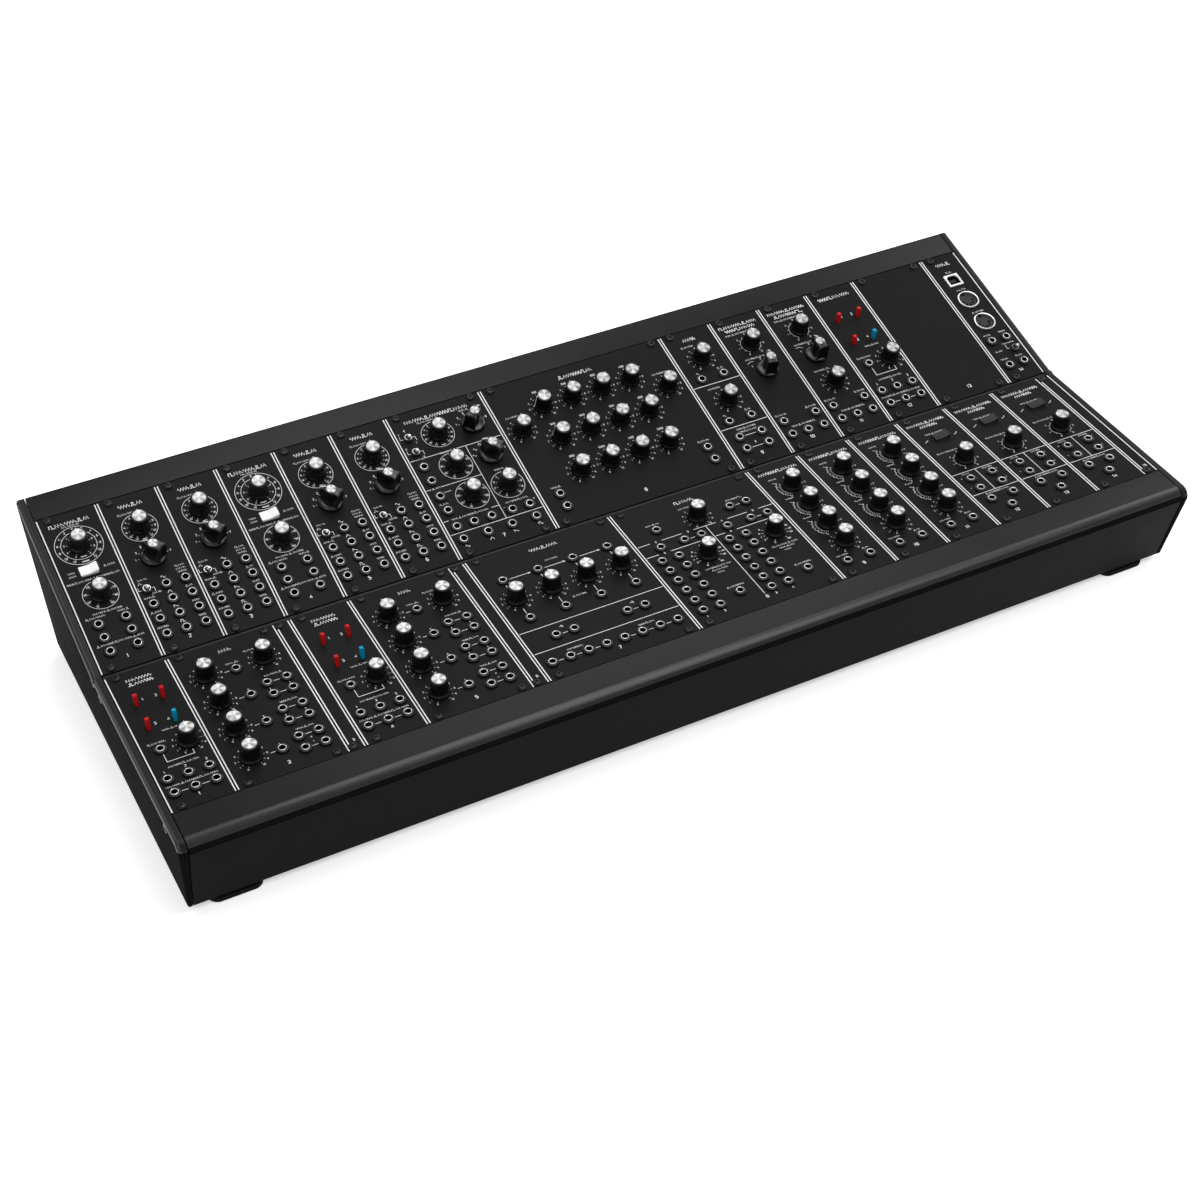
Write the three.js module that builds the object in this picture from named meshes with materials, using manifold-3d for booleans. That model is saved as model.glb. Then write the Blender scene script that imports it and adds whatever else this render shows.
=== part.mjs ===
// Two-row desktop modular synthesizer in a low sloped case.
// Millimetres, +Z up, +X along the long side to the player's right, +Y to the rear.
// The origin is on the ground under the middle of the object.
//
// Two local frames carry the modules. In each, x runs along the row from its left end,
// y runs up the panel from its front edge, and z stands out of the panel's face.
import * as THREE from 'three';
import { mergeVertices } from 'three/addons/utils/BufferGeometryUtils.js';
import Module from 'manifold-3d';

const wasm = await Module();
wasm.setup();

// ---------- driving dimensions ----------
const HP = 5.08;                 // width unit of a module
const ROW_HP = 140;              // width of one row in units
const ROW_W = ROW_HP * HP;       // 711.2
const PANEL_H = 128.5;           // panel height
const PANEL_T = 2.0;             // panel thickness
const SEAM = 0.3;                // gap between neighbouring panels
const DECK_Z = -13;              // underside of the circuit deck behind a panel
const DECK_Y0 = 10, DECK_Y1 = 118.5;
const TILT = 15.335 * Math.PI / 180;   // slope of the upper row against the lower one
const V0 = 131.43, N0 = 0.06;    // front edge of the upper row, in the case section
const MID_Y = 123.3;             // section position of the origin
const FACE_H = 69.0;             // height of the lower row's face above the ground
const BASE_N = -64.8;            // underside of the base pan
const CHEEK_T = 5.7;             // end cheek thickness
const GAP = 0.3;

const JACK_R = 1.8, JACK_DEPTH = 9;
const SHAFT_R = 3.0, SHAFT_HOLE_R = 3.6, SHAFT_DEPTH = 8;

// ---------- materials ----------
const mat = (color, roughness, metalness = 0) => new THREE.MeshStandardMaterial({ color, roughness, metalness });
const M_CASE = mat(0x151517, 0.5, 0.2);
const M_PANEL = mat(0x121213, 0.6, 0.2);
const M_KNOB = mat(0x0c0c0d, 0.4);
const M_RUBBER = mat(0x111112, 0.9);
const M_BOARD = mat(0x14401f, 0.6);
const M_WHITE = mat(0xf2f2ee, 0.3);
const M_GREY = mat(0x232325, 0.4);
const M_RED = mat(0xb01018, 0.35);
const M_BLUE = mat(0x0a78b8, 0.35);
const M_CHROME = mat(0xd0d2d4, 0.15, 1);

// ---------- solid helpers ----------
function toSolid(geometry) {
  const g = geometry.clone();
  g.deleteAttribute('normal');
  g.deleteAttribute('uv');
  const m = mergeVertices(g, 1e-4);
  return new wasm.Manifold(new wasm.Mesh({
    numProp: 3,
    vertProperties: new Float32Array(m.attributes.position.array),
    triVerts: new Uint32Array(m.index.array),
  }));
}

function toGeometry(solid) {
  const m = solid.getMesh();
  const g = new THREE.BufferGeometry();
  g.setAttribute('position', new THREE.BufferAttribute(new Float32Array(m.vertProperties), 3));
  g.setIndex(new THREE.BufferAttribute(new Uint32Array(m.triVerts), 1));
  g.computeVertexNormals();
  return g;
}

function box(x0, x1, y0, y1, z0, z1) {
  const g = new THREE.BoxGeometry(x1 - x0, y1 - y0, z1 - z0);
  g.translate((x0 + x1) / 2, (y0 + y1) / 2, (z0 + z1) / 2);
  return toSolid(g);
}

// a round post along z: r0 at z0, r1 at z1
function post(x, y, z0, z1, r0, r1, sides, turn = 0) {
  const g = new THREE.CylinderGeometry(r1, r0, z1 - z0, sides);
  g.rotateX(Math.PI / 2);
  g.rotateZ(turn);
  g.translate(x, y, (z0 + z1) / 2);
  return toSolid(g);
}

const joinAll = (list) => list.reduce((a, b) => a.add(b));

// a section given as (y, z) points, extruded along +X from x0 to x1
function extrudeAlongX(points, x0, x1) {
  const s = new THREE.Shape(points.map(([a, b]) => new THREE.Vector2(a, b)));
  const g = new THREE.ExtrudeGeometry(s, { depth: x1 - x0, bevelEnabled: false, curveSegments: 6 });
  g.applyMatrix4(new THREE.Matrix4().makeBasis(
    new THREE.Vector3(0, 1, 0), new THREE.Vector3(0, 0, 1), new THREE.Vector3(1, 0, 0)));
  g.translate(x0, 0, 0);
  return g;
}

const arcPoints = (cx, cy, r, a0, a1, n) => Array.from({ length: n + 1 }, (_, i) => {
  const a = (a0 + (a1 - a0) * i / n) * Math.PI / 180;
  return [cx + r * Math.cos(a), cy + r * Math.sin(a)];
});

// a point of the upper row's plane (s up the panel, h out of it) in the case section (v, n)
const upper = (s, h = 0) => [
  V0 + s * Math.cos(TILT) - h * Math.sin(TILT),
  N0 + s * Math.sin(TILT) + h * Math.cos(TILT),
];

// ---------- scene graph ----------
const group = new THREE.Group();
const caseFrame = new THREE.Group();          // x from the row's left end, y = v, z = n
caseFrame.position.set(-ROW_W / 2, -MID_Y, FACE_H);
const upperRow = new THREE.Group();
upperRow.position.set(0, V0, N0);
upperRow.rotation.x = TILT;
const lowerRow = new THREE.Group();
caseFrame.add(lowerRow, upperRow);
group.add(caseFrame);

function addMesh(parent, name, geometry, material, x = 0, y = 0, z = 0) {
  const mesh = new THREE.Mesh(geometry, material);
  mesh.name = name;
  mesh.position.set(x, y, z);
  parent.add(mesh);
  return mesh;
}

// ---------- case ----------
const rearCorner = upper(149.5);
const rearFoot = [246.8, BASE_N];
const rearHead = [rearCorner[0] + 0.2, rearCorner[1] - 4.6];   // top of the flat rear wall
const nose = arcPoints(-20.0, -7.5, 7.6, 90, 178, 6);

// outline of an end cheek, flush with both rows and the front rail
const cheekOutline = [
  [-27.6, -7.2], [-15.7, BASE_N + 2.2], [-13.6, BASE_N], [244.6, BASE_N], [247.0, BASE_N + 1.6],
  [rearCorner[0] + 1.0, rearCorner[1] - 5.0], [rearCorner[0] + 0.6, rearCorner[1] - 1.8],
  [rearCorner[0] - 2.8, rearCorner[1] - 0.3], upper(0.2), [V0 - 1.2, 0], ...nose.slice(0, -1),
];
{
  const shape = new THREE.Shape(cheekOutline.map(([a, b]) => new THREE.Vector2(a, b)));
  const bevel = 1.6;
  const g = new THREE.ExtrudeGeometry(shape, {
    depth: CHEEK_T - bevel, bevelEnabled: true, bevelThickness: bevel, bevelSize: bevel, bevelOffset: -bevel,
    bevelSegments: 2, curveSegments: 6,
  });
  g.applyMatrix4(new THREE.Matrix4().makeBasis(
    new THREE.Vector3(0, 1, 0), new THREE.Vector3(0, 0, 1), new THREE.Vector3(1, 0, 0)));
  const whole = toSolid(g);
  // the inner face is square, the outer face keeps its rounded rim
  // and it draws in towards the base
  const wedge = (x, d) => {
    const w = new THREE.ExtrudeGeometry(new THREE.Shape([[x, -12], [x + d, -12], [x + d, -66], [x - Math.sign(d) * 2.9, -66]]
      .map(([a, b]) => new THREE.Vector2(a, b))), { depth: 380, bevelEnabled: false });
    w.rotateX(Math.PI / 2);
    w.translate(0, 320, 0);
    return toSolid(w);
  };
  const right = whole.intersect(box(0, 20, -60, 320, -100, 80)).subtract(wedge(CHEEK_T, 3));
  const left = whole.intersect(box(-20, CHEEK_T - bevel, -60, 320, -100, 80)).subtract(wedge(-bevel, -3));
  addMesh(caseFrame, 'end_cheek_left', toGeometry(left), M_CASE, -CHEEK_T + bevel - 0.2, 0, 0);
  addMesh(caseFrame, 'end_cheek_right', toGeometry(right), M_CASE, ROW_W + 0.2, 0, 0);
}
const RX0 = 0.1, RX1 = ROW_W - 0.1;

// front rail: the rounded wrist rail with a ledge under the lower panels
addMesh(caseFrame, 'front_rail', extrudeAlongX([
  [-0.2, 0], ...nose, [-27.55, -7.0], [-9, -7.0], [-9, -14], [8.6, -14], [8.6, -2.3], [-0.2, -2.3],
], RX0, RX1), M_CASE);

// centre rail: a bar with a sloped top that carries the edges of both rows
addMesh(caseFrame, 'centre_rail', extrudeAlongX([
  [120, -14], [V0 + 8.6, -14], upper(9.2, -2.3), upper(-0.6, -2.3), [120, -2.3],
], RX0, RX1), M_CASE);

// rear shell: the top strip behind the upper row, its ledge, and the leaning rear wall
const wallIn = (t) => { // a point on the inner side of the rear wall, t from 0 (top) to 1 (foot)
  const a = [rearCorner[0] - 2.6, rearCorner[1] - 4.0], b = [rearFoot[0] - 2.2, rearFoot[1]];
  return [a[0] + (b[0] - a[0]) * t, a[1] + (b[1] - a[1]) * t];
};
const rearShell = extrudeAlongX([
  upper(128.85), upper(128.85, -2.3), upper(120.2, -2.3), upper(120.2, -12), upper(131, -12),
  upper(131, -2.4), [wallIn(0)[0] - 1.2, wallIn(0)[1] + 0.6], wallIn(0.03), wallIn(1), rearFoot,
  rearHead, [rearCorner[0] - 0.4, rearCorner[1] - 2.0],
  [rearCorner[0] - 3.0, rearCorner[1] - 0.78],
], RX0, RX1);
// power entry cut-out and switch cut-out in the rear wall, near the right end
const INLET_X = 640, INLET_N = -36, SWITCH_X = 602;
const rearAngle = Math.atan2(rearHead[0] - rearFoot[0], rearHead[1] - rearFoot[1]);
// frame on the rear wall: x along -X, y up the wall, z out of the wall
const rearAt = (n) => rearFoot[0] + (n - rearFoot[1]) * Math.tan(rearAngle);
{
  const cutBox = (x, w, h) => {
    const g = new THREE.BoxGeometry(w, 30, h);
    g.rotateX(-rearAngle);
    g.translate(x, rearAt(INLET_N), INLET_N);
    return toSolid(g);
  };
  const cut = toSolid(rearShell).subtract(cutBox(INLET_X, 22, 16)).subtract(cutBox(SWITCH_X, 12, 19));
  addMesh(caseFrame, 'rear_shell', toGeometry(cut), M_CASE);
}

// base pan: bottom sheet folded up into the leaning front wall
addMesh(caseFrame, 'base_pan', extrudeAlongX([
  [-27.3, -7.4], [-15.6, -62.6], [-13.4, BASE_N], [244.0, BASE_N], [244.0, BASE_N + 1.5],
  [-12.6, BASE_N + 1.5], [-14.0, -62.2], [-25.7, -7.4],
], RX0, RX1), M_CASE);

// rubber feet: oblong pads under the base
function foot(name, x, v0, v1) {
  const w = 35, r = 7;
  const y0 = v0, y1 = v1;
  const pts = [
    ...arcPoints(w / 2 - r, y1 - r, r, 0, 90, 4), ...arcPoints(-w / 2 + r, y1 - r, r, 90, 180, 4),
    ...arcPoints(-w / 2 + r, y0 + r, r, 180, 270, 4), ...arcPoints(w / 2 - r, y0 + r, r, 270, 360, 4),
  ];
  const s = new THREE.Shape(pts.map(([a, b]) => new THREE.Vector2(a, b)));
  const g = new THREE.ExtrudeGeometry(s, { depth: FACE_H + BASE_N - GAP, bevelEnabled: false });
  addMesh(caseFrame, name, g, M_RUBBER, x, 0, -FACE_H);
}
foot('foot_front_left', 28, -15.4, 6);
foot('foot_front_right', ROW_W - 28, -15.4, 6);
foot('foot_rear_left', 28, 221, 242.4);
foot('foot_rear_right', ROW_W - 28, 221, 242.4);

// power distribution board on the floor of the case
{
  const parts = [box(90, 621, 96, 132, BASE_N + 6.5, BASE_N + 8.1)];
  for (const x of [100, 228, 356, 484, 611]) for (const y of [101, 127])
    parts.push(post(x, y, BASE_N + 1.8, BASE_N + 7, 3, 3, 6));
  for (let i = 0; i < 10; i++) parts.push(box(112 + i * 50, 148 + i * 50, 109, 119, BASE_N + 8, BASE_N + 16.5));
  addMesh(caseFrame, 'bus_board', toGeometry(joinAll(parts)), M_BOARD);
}

// power entry: a flanged socket in the rear wall, and a rocker switch beside it
{
  const g = new THREE.Group();
  g.position.set(INLET_X, rearAt(INLET_N), INLET_N);
  g.rotation.set(Math.PI / 2 - rearAngle, 0, 0);      // local -z points out of the rear wall
  caseFrame.add(g);
  const block = joinAll([box(-14, 14, -10, 10, -1.9, -0.4), box(-10.6, 10.6, -7.6, 7.6, -0.8, 16)]);
  const bore = post(0, 0, -3, 10, 2.9, 2.9, 12);
  const pin = post(0, 0, 1, 11, 1.0, 1.0, 8);
  addMesh(g, 'power_inlet', toGeometry(block.subtract(bore).add(pin)), M_GREY);
}
const SWITCH_TILT = 8 * Math.PI / 180;
{
  const g = new THREE.Group();
  g.position.set(SWITCH_X, rearAt(INLET_N), INLET_N);
  g.rotation.set(Math.PI / 2 - rearAngle, 0, 0);
  caseFrame.add(g);
  const s = new THREE.Shape([[-8.6, -3.2], [0, -1.4], [8.6, -3.2], [7.2, 2.4], [2.6, 4.2], [-2.6, 4.2], [-7.2, 2.4]]
    .map(([a, b]) => new THREE.Vector2(a, b)));
  const e = new THREE.ExtrudeGeometry(s, { depth: 10.6, bevelEnabled: false });
  e.translate(0, 0, -5.3);
  e.applyMatrix4(new THREE.Matrix4().makeBasis(
    new THREE.Vector3(0, 1, 0), new THREE.Vector3(0, 0, 1), new THREE.Vector3(1, 0, 0)));
  e.rotateX(SWITCH_TILT);
  addMesh(g, 'power_switch', e, M_GREY);
}

// ---------- modules ----------
// Layouts are in millimetres from the module's own lower left corner.
const C = 20.2;                       // centre of an eight-unit module
const J2 = [11.1, 28.8], J3 = [7.3, 20.2, 33.1];
const rows = (us, ss) => ss.flatMap((s) => us.map((u) => [u, s]));

// kinds of control: round knob, pointer knob (with the clockwise turn of its tip from
// straight up), rocker, paddle, toggle
const DRIVER = {
  hp: 8, jacks: [...rows([11.2, 29.0], [36.8, 26.0, 14.9])],
  knobs: { tune: [C, 100, 'knob'], width: [C, 59, 'knob'], octave: [19.6, 78.8, 'rocker_white'] },
};
const OSCILLATOR = {
  hp: 8, jacks: [[7.3, 39.3], [7.3, 27.2], [7.3, 15], ...rows([20.2, 33.1], [51.5, 39.3, 27.2, 15])],
  knobs: { frequency: [C, 100.5, 'knob'], range: [C, 74.6, 'pointer', -40], sync: [7.3, 51.4, 'toggle'] },
};
const VCO = {
  hp: 14,
  jacks: [[8.5, 79.5], [8.5, 66.9], [8.5, 52.8], [8.5, 40.2], ...[8.5, 21.2, 34, 49.2, 62].map((u) => [u, 25.8]),
    ...[8.5, 26.3, 44, 61.9].map((u) => [u, 14.9])],
  knobs: {
    frequency: [29.3, 103.3, 'knob'], range: [55.5, 102.8, 'pointer', 49], sync_a: [8.4, 106.1, 'toggle'],
    sync_b: [8.4, 92.9, 'toggle'], width: [29.5, 73.8, 'knob'], fine: [29.6, 47, 'knob'],
    wave: [55.7, 73.8, 'pointer', -40], level: [55.7, 46.6, 'knob'],
  },
};
const BANK = {
  hp: 28, jacks: rows([13.8, 127.9], [26.1, 15]),
  knobs: {
    a1: [36.5, 100.5, 'knob'], a2: [59.3, 100.5, 'knob'], a3: [82.2, 100.5, 'knob'], a4: [105, 100.5, 'knob'],
    low: [13.8, 85.5, 'knob'], high: [127.8, 85.5, 'knob'],
    b1: [36.5, 70.3, 'knob'], b2: [59.3, 70.3, 'knob'], b3: [82.2, 70.3, 'knob'], b4: [105, 70.3, 'knob'],
    c1: [36.5, 40, 'knob'], c2: [59.3, 40, 'knob'], c3: [82.2, 40, 'knob'], c4: [105, 40, 'knob'],
  },
};
const FILTERS = {
  hp: 8, jacks: [...rows(J2, [82.3, 41.1, 26, 15.1])],
  knobs: { high: [C, 100.5, 'knob'], low: [C, 59.2, 'knob'] },
};
const HIGHPASS = {
  hp: 8, jacks: [[7.2, 27.4], [33.1, 27.4], ...rows(J3, [15])],
  knobs: { cutoff: [C, 100.3, 'knob'], mode: [C, 74.8, 'pointer', 14] },
};
const LOWPASS = {
  hp: 8, jacks: [[7.2, 27.4], [33.1, 27.4], ...rows(J3, [15])],
  knobs: { cutoff: [C, 100.3, 'knob'], mode: [C, 74.8, 'pointer', 0], emphasis: [C, 47.1, 'knob'] },
};
const CONTROLLER = {
  hp: 8, jacks: [[11.6, 53.1], ...rows(J3, [27.3, 15])],
  knobs: {
    p1: [11.4, 97.3, 'paddle_red'], p2: [28.3, 97.3, 'paddle_red'], p3: [11.4, 74.3, 'paddle_red'],
    p4: [28.3, 74.3, 'paddle_blue'], level: [29.2, 53, 'knob'],
  },
};
const BLANK_WIDE = { hp: 12, jacks: [], knobs: {} };
const BLANK_SLIM = { hp: 2, jacks: [], knobs: {} };
const MIDI = {
  hp: 6, jacks: rows([8.8, 21.6], [39.8, 15.2]),
  knobs: { mode: [21.8, 28, 'toggle'] },
  pockets: [[14.4, 102.7, 8.6, 8.0]], rings: [[14.3, 81.5], [14.3, 58.4]],
};
const MIXER = {
  hp: 14,
  jacks: [...[99.5, 73.2, 46.9, 20.6].map((s) => [35.6, s]), ...rows([48.1, 60.9], [78.7, 67.6, 52.5, 41.3, 26, 14.8])],
  knobs: {
    in1: [16.6, 101.5, 'knob'], in2: [16.6, 75.3, 'knob'], in3: [16.6, 48.8, 'knob'], in4: [16.6, 22.4, 'knob'],
    master: [54.6, 101.2, 'knob'],
  },
};
const ATTENUATORS = {
  hp: 21,
  jacks: [...rows([15, 40.3, 65.7, 91], [99.8, 59]), ...[22.3, 35.1, 73, 85.7].map((u) => [u, 36.9]),
    ...Array.from({ length: 8 }, (_, i) => [8.8 + i * 12.69, 15])],
  knobs: { in1: [15, 79.4, 'knob'], in2: [40.3, 79.4, 'knob'], in3: [65.6, 79.4, 'knob'], in4: [91, 79.4, 'knob'] },
};
const BLOCK6 = [69.6, 58.8, 47.9, 36.9, 25.9, 15];
const INTERFACE = {
  hp: 21,
  jacks: [[21.4, 99.8], [77.6, 99.8], [90.3, 99.8], ...[15.4, 33.2, 46, 66, 84, 96.8].map((u) => [u, 82.4]),
    ...rows([9.4, 22.1], BLOCK6), [39.9, 20.7], ...rows([60.1, 72.7], BLOCK6), [90.9, 20.6]],
  knobs: { in1: [52.8, 100, 'knob'], in2: [39.9, 62.5, 'knob'], in3: [91, 62.7, 'knob'] },
};
const ENVELOPE = {
  hp: 8, jacks: rows(J2, [15]),
  knobs: { attack: [C, 100.4, 'knob'], decay: [C, 77.3, 'knob'], sustain: [C, 54.1, 'knob'], release: [C, 33, 'knob'] },
};
const AMPLIFIER = {
  hp: 8, jacks: [...rows(J2, [50.7, 39, 26]), [C, 15]],
  knobs: { curve: [C, 100.5, 'rocker_dark'], gain: [C, 71.4, 'knob'] },
};

const CONTROL = {
  knob: { name: 'knob', material: M_KNOB }, pointer: { name: 'pointer', material: M_KNOB },
  rocker_white: { name: 'rocker', material: M_WHITE }, rocker_dark: { name: 'rocker', material: M_GREY },
  paddle_red: { name: 'paddle', material: M_RED }, paddle_blue: { name: 'paddle', material: M_BLUE },
  toggle: { name: 'toggle', material: M_CHROME },
};

// moving control solids, around their own mounting point on the panel
function roundKnob() {
  const p = [[0, -SHAFT_DEPTH + 0.5], [SHAFT_R, -SHAFT_DEPTH + 0.5], [SHAFT_R, 0.6], [6.8, 0.6], [6.8, 2.6],
    [5.6, 12.6], [4.7, 13.2], [0, 13.2]];
  const g = new THREE.LatheGeometry(p.map(([a, b]) => new THREE.Vector2(a, b)), 10);
  g.rotateX(Math.PI / 2);
  return toGeometry(toSolid(g));
}
const GRIP = [[1.5, 7.7], [2.3, 5.2], [3.5, 2.6], [3.9, 0], [3.3, -3.1], [3.5, -5], [4.2, -7], [2, -6.6]];
function pointerKnob(turn) {
  const p = [[0, -SHAFT_DEPTH + 0.5], [SHAFT_R, -SHAFT_DEPTH + 0.5], [SHAFT_R, 0.6], [8.2, 0.6], [8.2, 3.0], [0, 3.6]];
  const g = new THREE.LatheGeometry(p.map(([a, b]) => new THREE.Vector2(a, b)), 14);
  g.rotateX(Math.PI / 2);
  // waisted grip bar: narrow tip towards the scale, wide tail
  const outline = [...GRIP, ...GRIP.slice().reverse().map(([a, b]) => [-a, b])];
  const bar = new THREE.ExtrudeGeometry(new THREE.Shape(outline.map(([a, b]) => new THREE.Vector2(a, b))),
    { depth: 12.6, bevelEnabled: false });
  bar.translate(0, 0, 2.4);
  const out = toGeometry(toSolid(g).add(toSolid(bar)));
  out.rotateZ(-turn * Math.PI / 180);
  return out;
}
const ROCKER_TILT = 8 * Math.PI / 180;
function rocker() {
  // section along x, tilted so that its left end is down
  const s = new THREE.Shape([[-6.2, 2.9], [-5.4, -0.8], [-1.8, -2.6], [1.8, -2.6], [5.4, -0.8], [6.2, 2.9], [0, 1.9]]
    .map(([a, b]) => new THREE.Vector2(a, b)));
  const g = new THREE.ExtrudeGeometry(s, { depth: 7.2, bevelEnabled: false });
  g.translate(0, 0, -3.6);
  g.applyMatrix4(new THREE.Matrix4().makeBasis(
    new THREE.Vector3(1, 0, 0), new THREE.Vector3(0, 0, 1), new THREE.Vector3(0, -1, 0)));
  g.rotateY(-ROCKER_TILT);
  return g;
}
const PADDLE_PIVOT = -1.5, PADDLE_LEAN = -8 * Math.PI / 180;
function paddle() {
  const blade = box(-1.3, 1.3, -1.45, 1.45, PADDLE_PIVOT, 7.1);
  const g = new THREE.CylinderGeometry(1.45, 1.45, 4.2, 8);
  g.rotateZ(Math.PI / 2);
  g.translate(0, 0, PADDLE_PIVOT);
  const out = toGeometry(blade.add(toSolid(g)));
  out.translate(0, 0, -PADDLE_PIVOT);
  out.rotateX(PADDLE_LEAN);
  out.translate(0, 0, PADDLE_PIVOT);
  return out;
}
const TOGGLE_PIVOT = 1.6, TOGGLE_LEAN = 22 * Math.PI / 180;
function toggle() {
  const p = [[0, -0.4], [1, -0.4], [1, 2.6], [1.5, 5.4], [0, 6.2]];
  const g = new THREE.LatheGeometry(p.map(([a, b]) => new THREE.Vector2(a, b)), 8);
  g.rotateX(Math.PI / 2);
  g.rotateX(TOGGLE_LEAN);
  g.translate(0, 0, TOGGLE_PIVOT);
  return toGeometry(toSolid(g));
}

const BODY = {
  knob: roundKnob, pointer: pointerKnob, rocker_white: rocker, rocker_dark: rocker,
  paddle_red: paddle, paddle_blue: paddle, toggle,
};

// what a fixed copy of a control adds to its module's solid, and what a moving one cuts from it
function fixedControl(kind, u, s) {
  if (kind === 'knob') return [post(u, s, -0.5, 13.2, 6.8, 5.5, 8, Math.PI / 8)];
  if (kind === 'pointer') return [post(u, s, -0.5, 3.2, 8.2, 8.2, 10), post(u, s, 2, 15, 5.4, 5.4, 8)];
  if (kind.startsWith('rocker')) return [box(u - 6.2, u + 6.2, s - 3.6, s + 3.6, -0.5, 2.6)];
  if (kind.startsWith('paddle')) return [box(u - 1.3, u + 1.3, s - 0.9, s + 2, -0.5, 7)];
  return [post(u, s, -0.5, 3, 3.2, 3.2, 6), post(u, s - 1.4, 2.5, 7, 1.2, 1.4, 6)];
}
function movingCut(kind, u, s) {
  if (kind === 'knob' || kind === 'pointer') return post(u, s, -SHAFT_DEPTH, 1, SHAFT_HOLE_R, SHAFT_HOLE_R, 10);
  if (kind.startsWith('rocker')) return box(u - 6.9, u + 6.9, s - 4, s + 4, -4.4, 1);
  if (kind.startsWith('paddle')) return box(u - 2.4, u + 2.4, s - 2.2, s + 2.2, -3.6, 1);
  return post(u, s, 0.6, 4, 2.2, 2.2, 8);
}

// one node can hold a run of neighbouring modules on a common circuit deck
function moduleNode(row, name, startHp, list, moving) {
  const x0 = startHp * HP;
  const total = list.reduce((a, m) => a + m.hp, 0) * HP;
  const add = [
    box(SEAM / 2, total - SEAM / 2, SEAM / 2, PANEL_H - SEAM / 2, -PANEL_T, 0),
    box(1.2, total - 1.2, DECK_Y0, DECK_Y1, DECK_Z, -PANEL_T + 0.5),
  ];
  const cut = [];
  let off = 0;
  list.forEach((m, i) => {
    for (const [u, s] of m.jacks) cut.push(post(off + u, s, -JACK_DEPTH, 1, JACK_R, JACK_R, 6));
    for (const [key, [u, s, kind, turn]] of Object.entries(m.knobs)) {
      const wanted = moving.find((w) => w[0] === i && w[1] === key);
      if (!wanted) { add.push(...fixedControl(kind, off + u, s)); continue; }
      if (kind === 'toggle') add.push(post(off + u, s, -0.5, 3, 3.2, 3.2, 8));
      cut.push(movingCut(kind, off + u, s));
      addMesh(row, wanted[2], BODY[kind](turn), CONTROL[kind].material, x0 + off + u, s, 0);
    }
    for (const [u, s, w, h] of m.pockets ?? []) cut.push(box(off + u - w / 2, off + u + w / 2, s - h / 2, s + h / 2, -10, 1));
    for (const [u, s] of m.rings ?? []) {
      add.push(post(off + u, s, -0.5, 1.6, 8.6, 8.4, 14));
      cut.push(post(off + u, s, -9, 3, 7.2, 7.2, 14));
    }
    off += m.hp * HP;
    if (i < list.length - 1) cut.push(box(off - SEAM / 2, off + SEAM / 2, -1, PANEL_H + 1, -PANEL_T + 0.1, 1));
  });
  let solid = joinAll(add);
  if (cut.length) solid = solid.subtract(joinAll(cut));
  for (const m of list) {
    // the tongue of the square socket, and the five-pin inserts of the round ones
    for (const [u, s] of m.pockets ?? []) solid = solid.add(box(u - 2.8, u + 2.8, s - 1.6, s + 1.6, -10.5, -1));
    for (const [u, s] of m.rings ?? []) solid = solid.add(post(u, s, -9.5, -0.4, 6.3, 6.3, 12));
  }
  addMesh(row, name, toGeometry(solid), M_PANEL, x0, 0, 0);
}

// the upper row, left to right
moduleNode(upperRow, 'module_driver_a', 0, [DRIVER], [[0, 'tune', 'knob_driver_a_tune'], [0, 'octave', 'rocker_driver_a_octave']]);
moduleNode(upperRow, 'module_oscillators_a', 8, [OSCILLATOR, OSCILLATOR],
  [[0, 'range', 'pointer_oscillator_1_range'], [0, 'sync', 'toggle_oscillator_1_sync'], [1, 'frequency', 'knob_oscillator_2_frequency']]);
moduleNode(upperRow, 'module_driver_b', 24, [DRIVER], [[0, 'width', 'knob_driver_b_width']]);
moduleNode(upperRow, 'module_oscillators_b', 32, [OSCILLATOR, OSCILLATOR],
  [[0, 'range', 'pointer_oscillator_3_range'], [1, 'frequency', 'knob_oscillator_4_frequency']]);
moduleNode(upperRow, 'module_vco', 48, [VCO], [[0, 'frequency', 'knob_vco_frequency'], [0, 'range', 'pointer_vco_range']]);
moduleNode(upperRow, 'module_filter_bank', 62, [BANK], [[0, 'low', 'knob_filter_bank_low']]);
moduleNode(upperRow, 'module_filters', 90, [FILTERS, HIGHPASS, LOWPASS],
  [[0, 'high', 'knob_filters_high'], [1, 'mode', 'pointer_highpass_mode'], [2, 'emphasis', 'knob_lowpass_emphasis']]);
moduleNode(upperRow, 'module_control_voltages', 114, [CONTROLLER], [[0, 'p2', 'paddle_voltages_red'], [0, 'level', 'knob_voltages_level']]);
moduleNode(upperRow, 'module_blank_wide', 122, [BLANK_WIDE], []);
moduleNode(upperRow, 'module_midi', 134, [MIDI], [[0, 'mode', 'toggle_midi_mode']]);

// the lower row, left to right
moduleNode(lowerRow, 'module_controller_a', 0, [CONTROLLER], [[0, 'p4', 'paddle_controller_a_blue'], [0, 'level', 'knob_controller_a_level']]);
moduleNode(lowerRow, 'module_mixer_a', 8, [MIXER, BLANK_SLIM], [[0, 'master', 'knob_mixer_a_master']]);
moduleNode(lowerRow, 'module_controller_b', 24, [CONTROLLER], [[0, 'p1', 'paddle_controller_b_red']]);
moduleNode(lowerRow, 'module_mixer_b', 32, [MIXER, BLANK_SLIM], [[0, 'in4', 'knob_mixer_b_input']]);
moduleNode(lowerRow, 'module_attenuators', 48, [ATTENUATORS], [[0, 'in2', 'knob_attenuator_second']]);
moduleNode(lowerRow, 'module_interface', 69, [INTERFACE], [[0, 'in2', 'knob_interface_left']]);
moduleNode(lowerRow, 'module_envelopes', 90, [ENVELOPE, ENVELOPE, ENVELOPE],
  [[0, 'attack', 'knob_envelope_1_attack'], [2, 'release', 'knob_envelope_3_release']]);
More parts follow.
